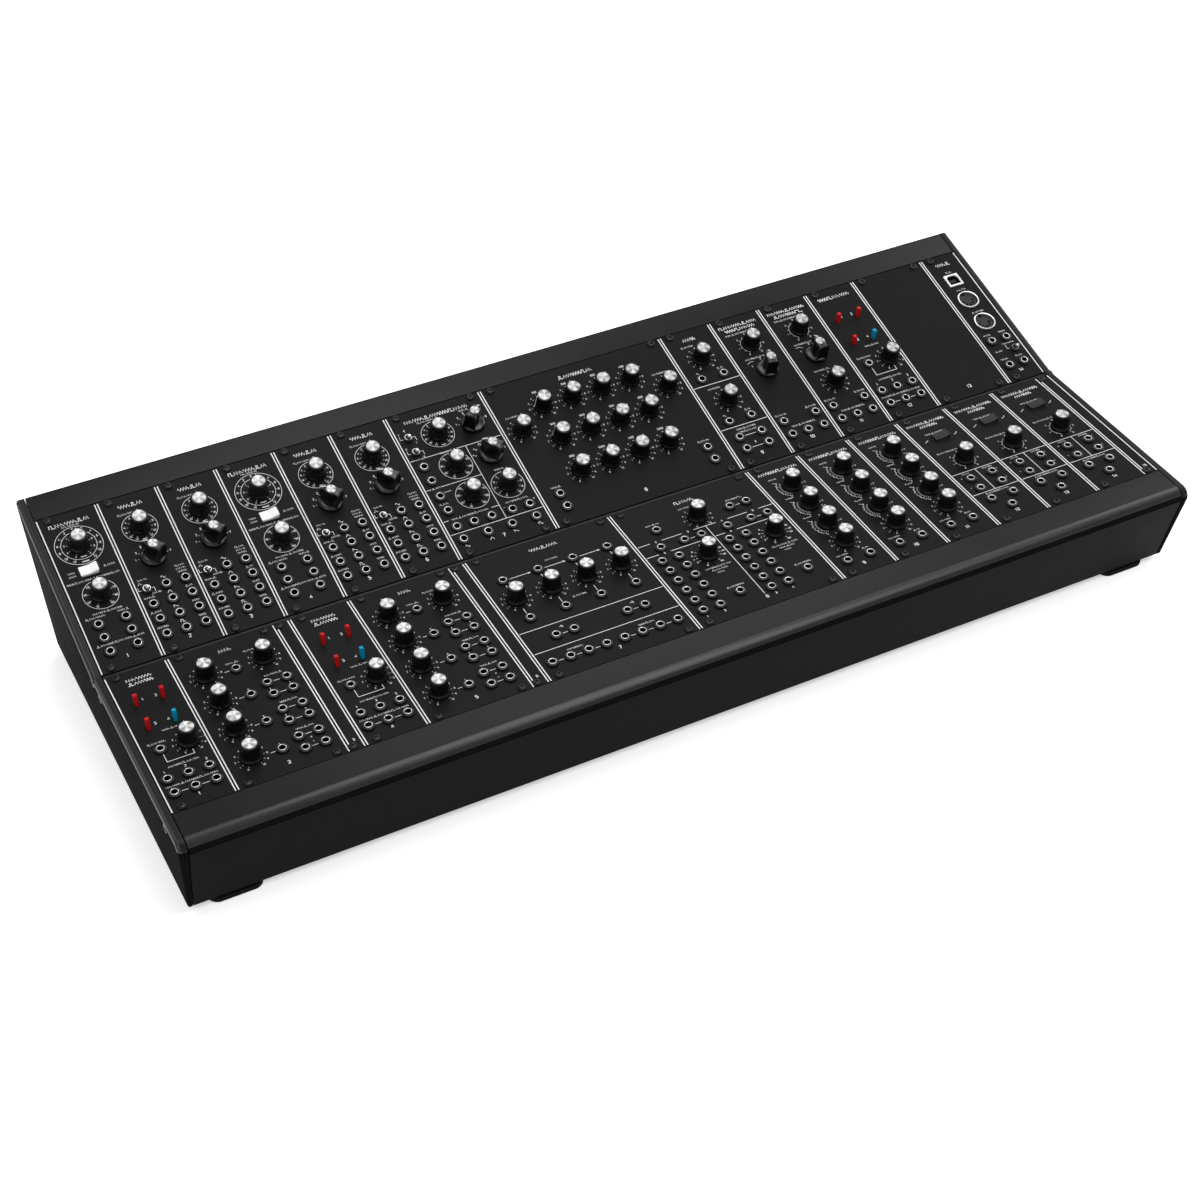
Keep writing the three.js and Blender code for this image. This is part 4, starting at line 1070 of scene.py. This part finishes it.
def make_pointer():
    b = Build()
    lathe(b, [(0, 0.7), (3.2, 0.7), (3.2, 0.5), (7.9, 0.5), (8.25, 0.8), (8.25, 1.8), (8.05, 2.3), (7.4, 2.75), (6.4, 3.05), (4, 3.3), (0, 3.3)], 96)
    loop = smooth_loop(GRIP)

    def top(y):
        return 15.0 - max(0.0, y - 4.3) * 0.75

    rings = []
    for z, f in ((2.9, 1.06), (6, 1.03), (10, 1.0)):
        rings.append([(x * f, y * (1 + (f - 1) * 0.4), z) for x, y in loop])
    for dz, d in ((-1.0, 0.0), (-0.45, 0.08), (-0.12, 0.25), (0.0, 0.5)):
        ring = inset(loop, d)
        rings.append([(x, y, top(y) + dz) for x, y in ring])
    loft(b, rings, 0, True)
    # indicator line along the sloped tip and down its end
    path = [(3.9, 14.7), (3.9, 15.05), (4.3, 15.06), (7.45, 12.72), (7.98, 12.0), (8.02, 4.0), (7.6, 3.6), (7.3, 4.2), (7.3, 12.2)]
    n_p = len(path)
    w = 0.42
    b.add([(-w, y, z) for y, z in path] + [(w, y, z) for y, z in path],
          [tuple(range(n_p))[::-1], tuple(range(n_p, 2 * n_p))]
          + [(i, (i + 1) % n_p, n_p + (i + 1) % n_p, n_p + i) for i in range(n_p)], 1)
    return b.mesh("knob_pointer", 38)


def make_rocker():
    b = Build()
    section = round_poly([(-6.2, 2.95, 0.5), (-5.5, -0.8, 0.6), (-1.8, -2.6, 0.8), (1.8, -2.6, 0.8), (5.5, -0.8, 0.6), (6.2, 2.95, 0.5), (0, 1.95, 6)], 5)
    t = math.radians(8)
    sec = [(x * math.cos(t) - z * math.sin(t), x * math.sin(t) + z * math.cos(t)) for x, z in section]
    rings = []
    for y, d in ((-3.6, 0.45), (-3.5, 0.2), (-3.25, 0.05), (-3.0, 0), (3.0, 0), (3.25, 0.05), (3.5, 0.2), (3.6, 0.45)):
        rings.append([(x, y, z) for x, z in inset(sec, d)])
    loft(b, rings, 0, True)
    return b.mesh("rocker", 35)


def make_paddle():
    b = Build()
    piv, lean = -1.5, math.radians(-8)
    rings = []
    base = round_poly([(-1.3, -1.45, 0.3), (1.3, -1.45, 0.3), (1.3, 1.45, 0.3), (-1.3, 1.45, 0.3)], 3)
    for z, f in ((0.2, 0.88), (2.0, 0.90), (5.0, 0.97), (8.2, 1.0), (8.48, 0.97), (8.6, 0.90)):
        rings.append([(x * f, y * f, z) for x, y in base])
    loft(b, rings, 0, True)
    c, s = math.cos(lean), math.sin(lean)
    b.v = [(x, y * c - z * s, y * s + z * c + piv) for x, y, z in b.v]
    return b.mesh("paddle", 40)


def make_toggle():
    b = Build()
    lathe(b, [(0, 0.15), (0.9, 0.15), (0.95, 0.5), (0.9, 1.2), (1.0, 2.1), (1.2, 3.1), (1.38, 3.9), (1.35, 4.35), (1.1, 4.68), (0.6, 4.82), (0, 4.85)], 32)
    lean = math.radians(22)
    c, s = math.cos(lean), math.sin(lean)
    b.v = [(x, y * c - z * s, y * s + z * c + 1.6) for x, y, z in b.v]
    return b.mesh("toggle", 50)


def toggle_base(x, y):
    b = Build()
    hexa = circle(x, y, 3.5, 6, 0.2)
    lo = inset(hexa, 0.25)
    loft(b, [[(p, q, 0.02) for p, q in hexa], [(p, q, 1.1) for p, q in hexa], [(p, q, 1.35) for p, q in lo]])
    lathe(b, [(2.0, 1.0), (2.6, 1.0), (2.6, 2.3), (2.48, 2.5), (2.2, 2.5), (2.0, 2.3)], 32, x, y, 1)
    return b


KNOB, CAP, POINTER, PCAP = make_knob(), make_cap(4.45, 11.95), make_pointer(), make_cap(3.25, 14.95, 0.15)
# a second cap mesh so that the lower row's caps can carry the paler, painted-light copy of the cap metal
CAP_LOW = make_cap(4.45, 11.95)
ROCKER_W, ROCKER_G = make_rocker(), make_rocker()
PADDLE_R, PADDLE_B, TOGGLE = make_paddle(), make_paddle(), make_toggle()


def nut_unit():
    b = Build()
    n = 72
    lathe(b, [(2.7, 0.0), (4.12, 0.0), (4.2, 0.15), (4.2, 0.95), (3.9, 1.42), (3.4, 1.6), (2.7, 1.6)], n,
          mod=lambda r, z, a: r - (0.16 * (0.5 + 0.5 * math.cos(24 * a)) if r > 4.1 else 0))
    return b


def sleeve_unit():
    b = Build()
    lathe(b, [(2.02, -3.0), (2.66, -3.0), (2.66, 1.55), (2.6, 1.82), (2.48, 1.97), (2.33, 2.0), (2.17, 1.92), (2.06, 1.7), (2.02, 1.3)], 40)
    return b


def barrel_unit():
    b = Build()
    lathe(b, [(1.9, 1.5), (1.85, -8.6), (0, -8.7), (0, -9.4), (4.4, -9.4), (4.4, -2.1), (2.75, -2.1), (2.75, -3.05), (1.98, -3.05), (1.98, 1.5)], 28)
    return b


def screw_unit():
    """A dark dome-headed screw with a cross recess."""
    b = Build()
    arm, half = 1.35, 0.33
    k = math.atan2(half, arm)
    angs = []
    for q in range(4):
        base = q * math.pi / 2
        angs += [base - k, base, base + k, base + math.pi / 4]
    angs = sorted(a % (2 * math.pi) for a in angs)

    def cross(a):
        f = (a + math.pi / 4) % (math.pi / 2) - math.pi / 4
        return arm / math.cos(f) if abs(f) <= k + 1e-9 else half / abs(math.sin(f))

    outer = [[(r * math.cos(a), r * math.sin(a), z) for a in angs] for r, z in ((3.0, 0.0), (3.02, 0.35), (2.8, 0.85), (2.2, 1.3), (1.62, 1.46))]
    rim = [(cross(a) * math.cos(a), cross(a) * math.sin(a), 1.5) for a in angs]
    floor = [(cross(a) * 0.8 * math.cos(a), cross(a) * 0.8 * math.sin(a), 0.6) for a in angs]
    loft(b, outer + [rim, floor], 0, True)
    return b


NUT, SLEEVE, BARREL, SCREW = nut_unit(), sleeve_unit(), barrel_unit(), screw_unit()


def screws_of(hp):
    if hp == 2:
        return [(2.4, 125.3), (2.4, 3.6)]
    left = [(7.5, 125.3), (7.5, 3.6)]
    rite = {14: 63.4, 28: 134.5, 21: 98.9, 12: 53.2}.get(hp)
    return left + ([(rite, 125.3), (rite, 3.6)] if rite else [])


def rect(x, y, w, h, r=0.0, seg=3):
    pts = [(x - w / 2, y - h / 2, r), (x + w / 2, y - h / 2, r), (x + w / 2, y + h / 2, r), (x - w / 2, y + h / 2, r)]
    return round_poly(pts, seg)


def socket_outline(x, y, w, h, cut):
    return [(x - w / 2, y - h / 2), (x + w / 2, y - h / 2), (x + w / 2, y + h / 2 - cut), (x + w / 2 - cut, y + h / 2),
            (x - w / 2 + cut, y + h / 2), (x - w / 2, y + h / 2 - cut)]


# ------------------------------------------------------------------ modules
stood = set()
order = {"U": 0, "L": 0}
for row, name, start, kind, moving, node in MODULES:
    k = KINDS[kind]
    hp = k["hp"]
    w = hp * HP
    order[row] += 1
    at = ROW[row] @ Matrix.Translation((start * HP / 1000, 0, 0))
    holes = [circle(u, s, 2.85, 20) for u, s in k["jacks"]]
    for key, spec in k["knobs"].items():
        u, s, what = spec[:3]
        if what in ("knob", "pointer"):
            holes.append(circle(u, s, 3.6, 20))
        elif what == "toggle":
            holes.append(circle(u, s, 1.85, 16))
        elif what.startswith("rocker"):
            holes.append(rect(u, s, 13.4, 7.9, 0.3))
        else:
            holes.append(rect(u, s, 3.1, 3.9, 0.3))
    for u, s in k.get("usb", []):
        holes.append(rect(u, s, 9.4, 8.6, 0.2))
    for u, s in k.get("din", []):
        holes.append(circle(u, s, 7.25, 40))
    b = Build()
    outer = rect(w / 2, PANEL_H / 2, w - SEAM, PANEL_H - SEAM, 0.25, 2)
    plate(b, outer, holes, 0.0, -PANEL_T)
    piece("panel_" + name, b, [PANEL_M], at, replaces=() if node in stood else (node,), slot="module_panel")
    stood.add(node)

    p = Print()
    k["draw"](p)
    label = {2: 5.2}.get(hp, {12: 30.6, 6: 15.4, 28: 70.8, 21: 53.2, 14: 35.4}.get(hp, C))
    p.num(label, 8.9, str(order[row]), 2.0 if hp == 2 else 2.5, 0.36 if hp == 2 else 0.5)
    piece("print_" + name, p.b, [PRINT_M], at, slot="panel_print")

    if k["jacks"]:
        nuts, sleeves, barrels = Build(), Build(), Build()
        for i, (u, s) in enumerate(k["jacks"]):
            nuts.stamp(NUT, u, s, 0.0, i * 0.4)
            sleeves.stamp(SLEEVE, u, s)
            barrels.stamp(BARREL, u, s)
        piece("jack_nuts_" + name, nuts, [NUT_M], at, slot="jack_metal")
        piece("jack_sleeves_" + name, sleeves, [METAL_M], at, slot="jack_metal")
        piece("jack_barrels_" + name, barrels, [HOLE_M], at, slot="inlet_plastic")
    sc = Build()
    for i, (u, s) in enumerate(screws_of(hp)):
        sc.stamp(SCREW, u, s, 0.0, 0.35 + i * 1.1 + start * 0.37)
    piece("screws_" + name, sc, [SCREW_M], at, slot="case_shell")

    for key, spec in k["knobs"].items():
        u, s, what = spec[:3]
        turn = spec[3] if len(spec) > 3 else 0
        body = moving.get(key, "root")
        rep = (body,) if body != "root" else ()
        m = at @ Matrix.Translation((u / 1000, s / 1000, 0))
        full = name + "_" + key
        if what == "knob":
            m = m @ Matrix.Rotation(-math.radians(turn), 4, "Z")
            put("knob_" + full, KNOB, [KNOB_M, PRINT_M], m, body, rep, "knob_black")
            put("cap_" + full, CAP if row == "U" else CAP_LOW, [CAP_M if row == "U" else LOW_CAP_PAINTED_LIGHT_M], m, body, (), "knob_cap")
        elif what == "pointer":
            m = m @ Matrix.Rotation(-math.radians(turn), 4, "Z")
            put("pointer_" + full, POINTER, [POINTER_M, PRINT_M], m, body, rep, "knob_black")
            put("cap_" + full, PCAP, [CAP_M], m, body, (), "knob_cap")
        elif what.startswith("rocker"):
            white = what == "rocker_white"
            put("rocker_" + full, ROCKER_W if white else ROCKER_G, [WHITE_M if white else GREY_M], m, body, rep, what)
            bz = Build()
            plate(bz, rect(0, 0, 14.6, 9.2, 0.8), [rect(0, 0, 13.3, 7.8, 0.3)], 0.55, -1.8, 0.2)
            put("bezel_" + full, bz.mesh("bezel_" + full), [INLET_M], m, "root", (), "inlet_plastic")
        elif what.startswith("paddle"):
            red = what == "paddle_red"
            put("paddle_" + full, PADDLE_R if red else PADDLE_B, [RED_M if red else BLUE_M], m, body, rep, what)
        else:
            put("toggle_" + full, TOGGLE, [CHROME_M], m, body, rep, "toggle_chrome")
            put("collar_" + full, toggle_base(0, 0).mesh("collar_" + full, 40), [NUT_M, CHROME_M], m, "root", (), "toggle_chrome")

    for u, s in k.get("usb", []):
        # the USB frame, in the pale grey that stands in for a painted reflection
        b = Build()
        plate(b, rect(u, s, 12.0, 11.2, 0.4), [socket_outline(u, s, 9.3, 8.5, 2.0)], 0.9, -1.9, 0.25)
        piece("usb_frame", b, [FRAME_PAINTED_SHEEN_M], at, slot="jack_metal")
        b = Build()
        outline = socket_outline(u, s, 8.3, 7.5, 1.9)
        deep = socket_outline(u, s, 9.2, 8.4, 2.0)
        loft(b, [[(x, y, 0.2) for x, y in outline], [(x, y, -9.5) for x, y in outline], [(x, y, -10.2) for x, y in deep],
                 [(x, y, -0.1) for x, y in deep]], closed=True)
        b.add([(x, y, -9.4) for x, y in outline] + [(x, y, -9.9) for x, y in outline],
              [tuple(range(6)), tuple(range(6, 12))[::-1]] + [(i, (i + 1) % 6, 6 + (i + 1) % 6, 6 + i) for i in range(6)])
        block(b, u - 2.8, u + 2.8, s - 1.6, s + 1.6, -9.4, -0.9, 0.25)
        piece("usb_socket", b, [INLET_M], at, slot="inlet_plastic")
    for i, (u, s) in enumerate(k.get("din", [])):
        b = Build()
        lathe(b, [(7.0, -1.6), (8.3, 0.0), (8.35, 0.6), (8.1, 1.35), (7.7, 1.6), (7.2, 1.5), (7.0, 1.1)], 72, u, s)
        piece("din_ring_%d" % (i + 1), b, [METAL_M], at, slot="jack_metal")
        b = Build()
        pins = [circle(*polar(u, s, 4.0, a), 0.98, 16) for a in (97, 138, 180, 222, 263)]
        rim = []
        for j in range(64):
            a = 360 * j / 64
            rim.append(polar(u, s, 6.75 if abs((a + 180) % 360 - 180) > 11 else 5.3, a))
        plate(b, rim[::-1], pins, -0.4, -7.5, 0.15)
        piece("din_insert_%d" % (i + 1), b, [INSERT_M], at, slot="inlet_plastic")
        b = Build()
        for px, py in [polar(u, s, 4.0, a) for a in (97, 138, 180, 222, 263)]:
            lathe(b, [(0, -6.2), (0.98, -6.2), (0.98, -0.45), (0.86, -0.45), (0.86, -6.0), (0, -6.0)], 16, px, py)
        piece("din_contacts_%d" % (i + 1), b, [HOLE_M], at, slot="inlet_plastic")


# ------------------------------------------------------------------ case
rear = upper(149.5)
wall = (246.8, BASE_N)
head = (rear[0] + 0.2, rear[1] - 4.6)
slope = (head[0] - wall[0]) / (head[1] - wall[1])
front_x = -29.15


def front_at(n):
    return front_x - n * 0.2148


NOSE = [(-20 + 7.55 * math.cos(math.radians(a)), -7.5 + 7.5 * math.sin(math.radians(a))) for a in range(90, 179, 4)]


def taper(n):
    """How far an end cheek's outer face has drawn in at height n."""
    k = min(1.0, max(0.0, -n / -BASE_N))
    return 2.9 * k ** 1.7


cheek = round_poly([(*q, 0) for q in NOSE[:-1]] + [
    (-27.5, -7.6, 0.6), (front_at(BASE_N), BASE_N, 3.0), (wall[0] + 0.3, BASE_N, 3.0),
    (head[0] + 0.3, head[1], 4.0), (rear[0] + 0.2, rear[1], 1.6), (V0 - 0.4, 0.0, 5.0)], 12)
for side in ("left", "right"):
    b = Build()
    rings = [[(0.0, y, z) for y, z in inset(cheek, 0.12)], [(0.12, y, z) for y, z in cheek]]
    R = 2.3
    for i in range(9):
        a = math.pi / 2 * i / 8
        f = (CHEEK_T - R + R * math.sin(a)) / CHEEK_T
        rings.append([((CHEEK_T - taper(z)) * f, y, z) for y, z in inset(cheek, R * (1 - math.cos(a)))])
    if side == "left":
        rings = [[(-x - 0.2, y, z) for x, y, z in r] for r in rings]
    else:
        rings = [[(x + ROW_W + 0.2, y, z) for x, y, z in r] for r in rings]
    loft(b, rings[:-1], 1, True, caps=(True, False))
    # the outer face, in strips so that it can follow the taper
    last = rings[-1]
    m = len(last)
    inner = [(q[0], q[1], q[2]) for q in rings[-2]]
    b.add(inner + last, [(q, (q + 1) % m, m + (q + 1) % m, m + q) for q in range(m)], 1, True)
    # painted light: the cheek's lower and rear faces take the darker painted-shade copy of the paint, its top rim the
    # glossier painted-highlight copy, and the band at its inner edge the plain case paint; the outer face added below
    # takes the painted-shade copy too
    for i, f in enumerate(b.f):
        if sum(b.v[j][2] for j in f) / len(f) < -5.0 or sum(b.v[j][1] for j in f) / len(f) > rear[0] - 1.0:
            b.m[i] = 0
        elif b.m[i] == 1 and min(abs(b.v[j][0] - (-0.2 if side == "left" else ROW_W + 0.2)) for j in f) < 0.13:
            b.m[i] = 2
    flat = [Vector((q[1], q[2], 0)) for q in last]
    b.add(last, [tuple(f) for f in tessellate_polygon([flat])], 0, True)
    piece("end_cheek_%s_shell" % side, b, [SHADED_PAINT_M, RIM_PAINTED_HIGHLIGHT_M, CASE_M], CASE, replaces=("end_cheek_" + side,), slot="case_shell", sharp=25, weld=True)

for side, sign, x in (("left", -1, -5.9), ("right", 1, ROW_W + 5.9)):
    b = Build()
    for v, n in ((-4.0, -5.4), (117.6, -5.0), (131.4, -3.2)):
        u = Build()
        lathe(u, [(0, -0.7), (2.95, -0.7), (2.95, -0.05), (2.8, 0.1), (1.75, 0.1), (1.6, 0.0), (1.5, -0.45), (0, -0.45)], 32)
        b.stamp(u, v, n)
    b.v = [(x + sign * z, y, q) for y, q, z in b.v]
    piece("cheek_screws_" + side, b, [SCREW_M], CASE, slot="case_shell")

b = Build()
rail = [(-0.35, 0.0)] + NOSE + [(-27.3, -7.35), (-9, -7.35), (-9, -14), (8.6, -14), (8.6, -2.4), (-0.35, -2.4)]
along_x(b, rail, 0.45, ROW_W - 0.45, 0.2)
# painted light: the flat top takes the plain case paint, the upper nose the more reflective painted-highlight copy, and
# the lower nose and the faces below it the darker painted-shade copy
for i, f in enumerate(b.f):
    ys, zs = [b.v[j][1] for j in f], [b.v[j][2] for j in f]
    if min(ys) > -20.4:
        b.m[i] = 1
    elif max(zs) < -3.4:
        b.m[i] = 2
piece("wrist_rail", b, [RAIL_PAINTED_HIGHLIGHT_M, CASE_M, SHADED_PAINT_M], CASE, replaces=("front_rail",), slot="case_shell", sharp=25)

b = Build()
mid = [(120, -14), (V0 + 8.6, -14), upper(9.2, -2.4), upper(-0.35, -2.4), (131.05, -0.35), (128.85, -0.35), (128.85, -2.4), (120, -2.4)]
along_x(b, round_poly([(y, z, 0.25 if -1 < z < 0 else 0.0) for y, z in mid], 3), 0.45, ROW_W - 0.45)
piece("centre_strip", b, [CASE_M], CASE, replaces=("centre_rail",), slot="case_shell", sharp=25)

b = Build()
inner0 = (rear[0] - 2.6, rear[1] - 3.4)
shell = round_poly([
    (*upper(128.85), 0.3), (*upper(128.85, -2.3), 0), (*upper(120.2, -2.3), 0), (*upper(120.2, -12), 0), (*upper(131, -12), 0),
    (*upper(131, -2.4), 0), (*inner0, 0.5), (wall[0] - 2.2, BASE_N, 0), (wall[0], BASE_N, 0.6), (*head, 4.0), (*rear, 1.4)], 12)
along_x(b, shell, 0.45, ROW_W - 0.45, 0.2)
me = b.mesh("rear_wall_body", 25)
me.materials.append(CASE_M)
rw = bpy.data.objects.new("rear_wall_body", me)
bpy.context.scene.collection.objects.link(rw)
rw.matrix_world = CASE
ANG = math.atan(slope)
INLET_X, SWITCH_X, INLET_N = 640.0, 602.0, -36.0


def rear_frame(x, n):
    """across, then up the wall, then out of the wall"""
    return CASE @ Matrix.Translation((x / 1000, (wall[0] + (n - wall[1]) * slope) / 1000, n / 1000)) @ Matrix.Rotation(math.pi / 2 - ANG, 4, "X") @ Matrix.Rotation(math.pi, 4, "Y")


cutters = []
for x, w, h in ((INLET_X, 21.8, 15.8), (SWITCH_X, 12, 19)):
    cb = Build()
    o = rect(0, 0, w, h, 0.8)
    loft(cb, [[(p, q, -20) for p, q in o], [(p, q, 20) for p, q in o]])
    cut = bpy.data.objects.new("cutter", cb.mesh("cutter"))
    bpy.context.scene.collection.objects.link(cut)
    cut.matrix_world = rear_frame(x, INLET_N)
    md = rw.modifiers.new("cut", "BOOLEAN")
    md.object = cut
    md.operation = "DIFFERENCE"
    md.solver = "EXACT"
    cutters.append(cut)
bpy.context.view_layer.update()
done = bpy.data.meshes.new_from_object(rw.evaluated_get(bpy.context.evaluated_depsgraph_get()))
bpy.data.objects.remove(rw)
for cut in cutters:
    bpy.data.objects.remove(cut)
done.name = "rear_wall"
put("rear_wall", done, [CASE_M], CASE, "root", ("rear_shell",), "case_shell")

b = Build()
rec = 0.35
pan = round_poly([
    (front_at(-8.3) + rec, -8.3, 0.25), (front_at(BASE_N) + rec, BASE_N, 2.4), (244.0, BASE_N, 0.3), (244.0, BASE_N + 1.5, 0.3),
    (front_at(BASE_N) + rec + 1.6, BASE_N + 1.5, 1.2), (front_at(-8.3) + rec + 1.6, -8.3, 0.2)], 8)
along_x(b, pan, 0.35, ROW_W - 0.35, 0.15)
piece("base_shell", b, [BASE_M], CASE, replaces=("base_pan",), slot="base_sheet", sharp=25)

for nm, x, v0, v1 in (("front_left", 28, -15.4, 6), ("front_right", ROW_W - 28, -15.4, 6),
                      ("rear_left", 28, 221, 242.4), ("rear_right", ROW_W - 28, 221, 242.4)):
    b = Build()
    o = round_poly([(x - 17.5, v0, 7), (x + 17.5, v0, 7), (x + 17.5, v1, 7), (x - 17.5, v1, 7)], 10)
    rings = []
    for i in range(5):
        a = math.pi / 2 * i / 4
        rings.append([(p, q, -FACE_H + 0.9 * (1 - math.sin(a))) for p, q in inset(o, 0.9 * (1 - math.cos(a)))])
    rings = rings[::-1]
    rings.append([(p, q, BASE_N - 0.25) for p, q in o])
    loft(b, rings, 0, True)
    piece("rubber_foot_" + nm, b, [RUBBER_M], CASE, replaces=("foot_" + nm,), slot="foot_rubber")

# power entry and switch in the rear wall
b = Build()
fr = rear_frame(INLET_X, INLET_N)
plate(b, rect(0, 0, 28, 20, 2.2, 6), [circle(0, 0, 5.4, 40)], 1.9, 0.4, 0.35)
lathe(b, [(2.9, -9.5), (5.3, -9.5), (5.3, 1.75), (4.9, 2.3), (3.3, 2.3), (2.9, 1.8)], 40)
lathe(b, [(0, -11), (5.3, -11), (5.3, -9.6), (1.0, -9.6), (1.0, 0.2), (0.6, 0.7), (0, 0.7)], 40)
piece("power_socket", b, [INLET_M], fr, replaces=("power_inlet",), slot="inlet_plastic")

fs = rear_frame(SWITCH_X, INLET_N)
b = Build()
section = round_poly([(-8.6, 3.2, 0.5), (0, 1.4, 8), (8.6, 3.2, 0.5), (7.2, -2.4, 0.6), (2.6, -4.2, 0.8), (-2.6, -4.2, 0.8), (-7.2, -2.4, 0.6)], 5)
t = math.radians(-8)
sec = [(y * math.cos(t) - z * math.sin(t), y * math.sin(t) + z * math.cos(t)) for y, z in section]
loft(b, [[(x, y, z) for y, z in inset(sec, d)] for x, d in ((-5.3, 0.4), (-5.15, 0.12), (-4.8, 0), (4.8, 0), (5.15, 0.12), (5.3, 0.4))], 0, True)
piece("power_rocker", b, [INLET_M], fs, "power_switch", ("power_switch",), "inlet_plastic")

# the board inside keeps its own shape
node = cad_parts["bus_board"]
node.data.materials.clear()
node.data.materials.append(BOARD_M)

# ------------------------------------------------------------------ riding
for name, (ob, body, reps, sl) in LINKED.items():
    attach(ob, body)
    if reps:
        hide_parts(*reps)

# ------------------------------------------------------------------ floor and light
fl = bpy.data.meshes.new("floor")
fl.from_pydata([(-60, -60, -0.0002), (60, -60, -0.0002), (60, 60, -0.0002), (-60, 60, -0.0002)], [], [(0, 1, 2, 3)])
floor = bpy.data.objects.new("floor", fl)
bpy.context.scene.collection.objects.link(floor)
FLOOR_M = material("floor_white", (0.95, 0.95, 0.95), 0.6, bump=0, tone=0.0, rough_var=0.0, spec=0.1)
FLOOR_M.node_tree.nodes["Principled BSDF"].inputs["Emission Color"].default_value = (1, 1, 1, 1)
FLOOR_M.node_tree.nodes["Principled BSDF"].inputs["Emission Strength"].default_value = 0.46
fl.materials.append(FLOOR_M)

world = bpy.data.worlds.new("world")
world.use_nodes = True
wn, wl = world.node_tree.nodes, world.node_tree.links
wc = wn.new("ShaderNodeTexCoord")
ws = wn.new("ShaderNodeSeparateXYZ")
wl.new(wc.outputs["Generated"], ws.inputs["Vector"])
wr = wn.new("ShaderNodeValToRGB")
wr.color_ramp.elements[0].position = 0.10
wr.color_ramp.elements[0].color = (0.88, 0.88, 0.88, 1)
wr.color_ramp.elements[1].position = 0.36
wr.color_ramp.elements[1].color = (0.24, 0.24, 0.24, 1)
wl.new(ws.outputs["Z"], wr.inputs["Fac"])
# a paler side to the left and front, away from what the upper faces mirror
wd = wn.new("ShaderNodeVectorMath")
wd.operation = "DOT_PRODUCT"
wd.inputs[1].default_value = (-0.80, -0.45, 0.40)
wl.new(wc.outputs["Generated"], wd.inputs[0])
wm = wn.new("ShaderNodeMapRange")
wm.inputs["From Min"].default_value = 0.15
wm.inputs["From Max"].default_value = 0.85
wm.inputs["To Min"].default_value = 0.0
wm.inputs["To Max"].default_value = 1.0
wl.new(wd.outputs["Value"], wm.inputs["Value"])
wa = wn.new("ShaderNodeMixRGB")
wa.blend_type = "LIGHTEN"
wa.inputs["Color2"].default_value = (0.62, 0.62, 0.62, 1)
wl.new(wm.outputs["Result"], wa.inputs["Fac"])
wl.new(wr.outputs["Color"], wa.inputs["Color1"])
wl.new(wa.outputs["Color"], wn["Background"].inputs["Color"])
wn["Background"].inputs["Strength"].default_value = 1.0
bpy.context.scene.world = world


def area(name, loc, target, size, size_y, power, along=None):
    """A soft box facing target, its first side lying along the given direction."""
    d = bpy.data.lights.new(name, "AREA")
    d.shape = "RECTANGLE"
    d.size, d.size_y = size, size_y
    d.energy = power
    o = bpy.data.objects.new(name, d)
    bpy.context.scene.collection.objects.link(o)
    z = (Vector(loc) - Vector(target)).normalized()
    x = Vector(along or (1, 0, 0))
    x = (x - z * x.dot(z)).normalized()
    y = z.cross(x)
    o.matrix_world = Matrix((
        (x.x, y.x, z.x, loc[0]), (x.y, y.y, z.y, loc[1]), (x.z, y.z, z.z, loc[2]), (0, 0, 0, 1)))


area("overhead", (0.66, -0.13, 2.5), (0.05, -0.1, 0.0), 3.3, 1.45, 56, (0.55, -0.84, 0))
area("rear", (0.82, 1.80, 1.78), (0, 0, 0.05), 1.8, 1.1, 13)
area("left_rear", (-1.35, 2.1, 1.7), (-0.35, 0.1, 0.1), 1.1, 0.9, 7)
area("left", (-2.1, -1.3, 2.3), (-0.2, 0, 0.05), 2.2, 1.7, 12)
area("right", (2.3, 0.55, 1.3), (0.36, 0, 0.05), 1.6, 1.2, 16)
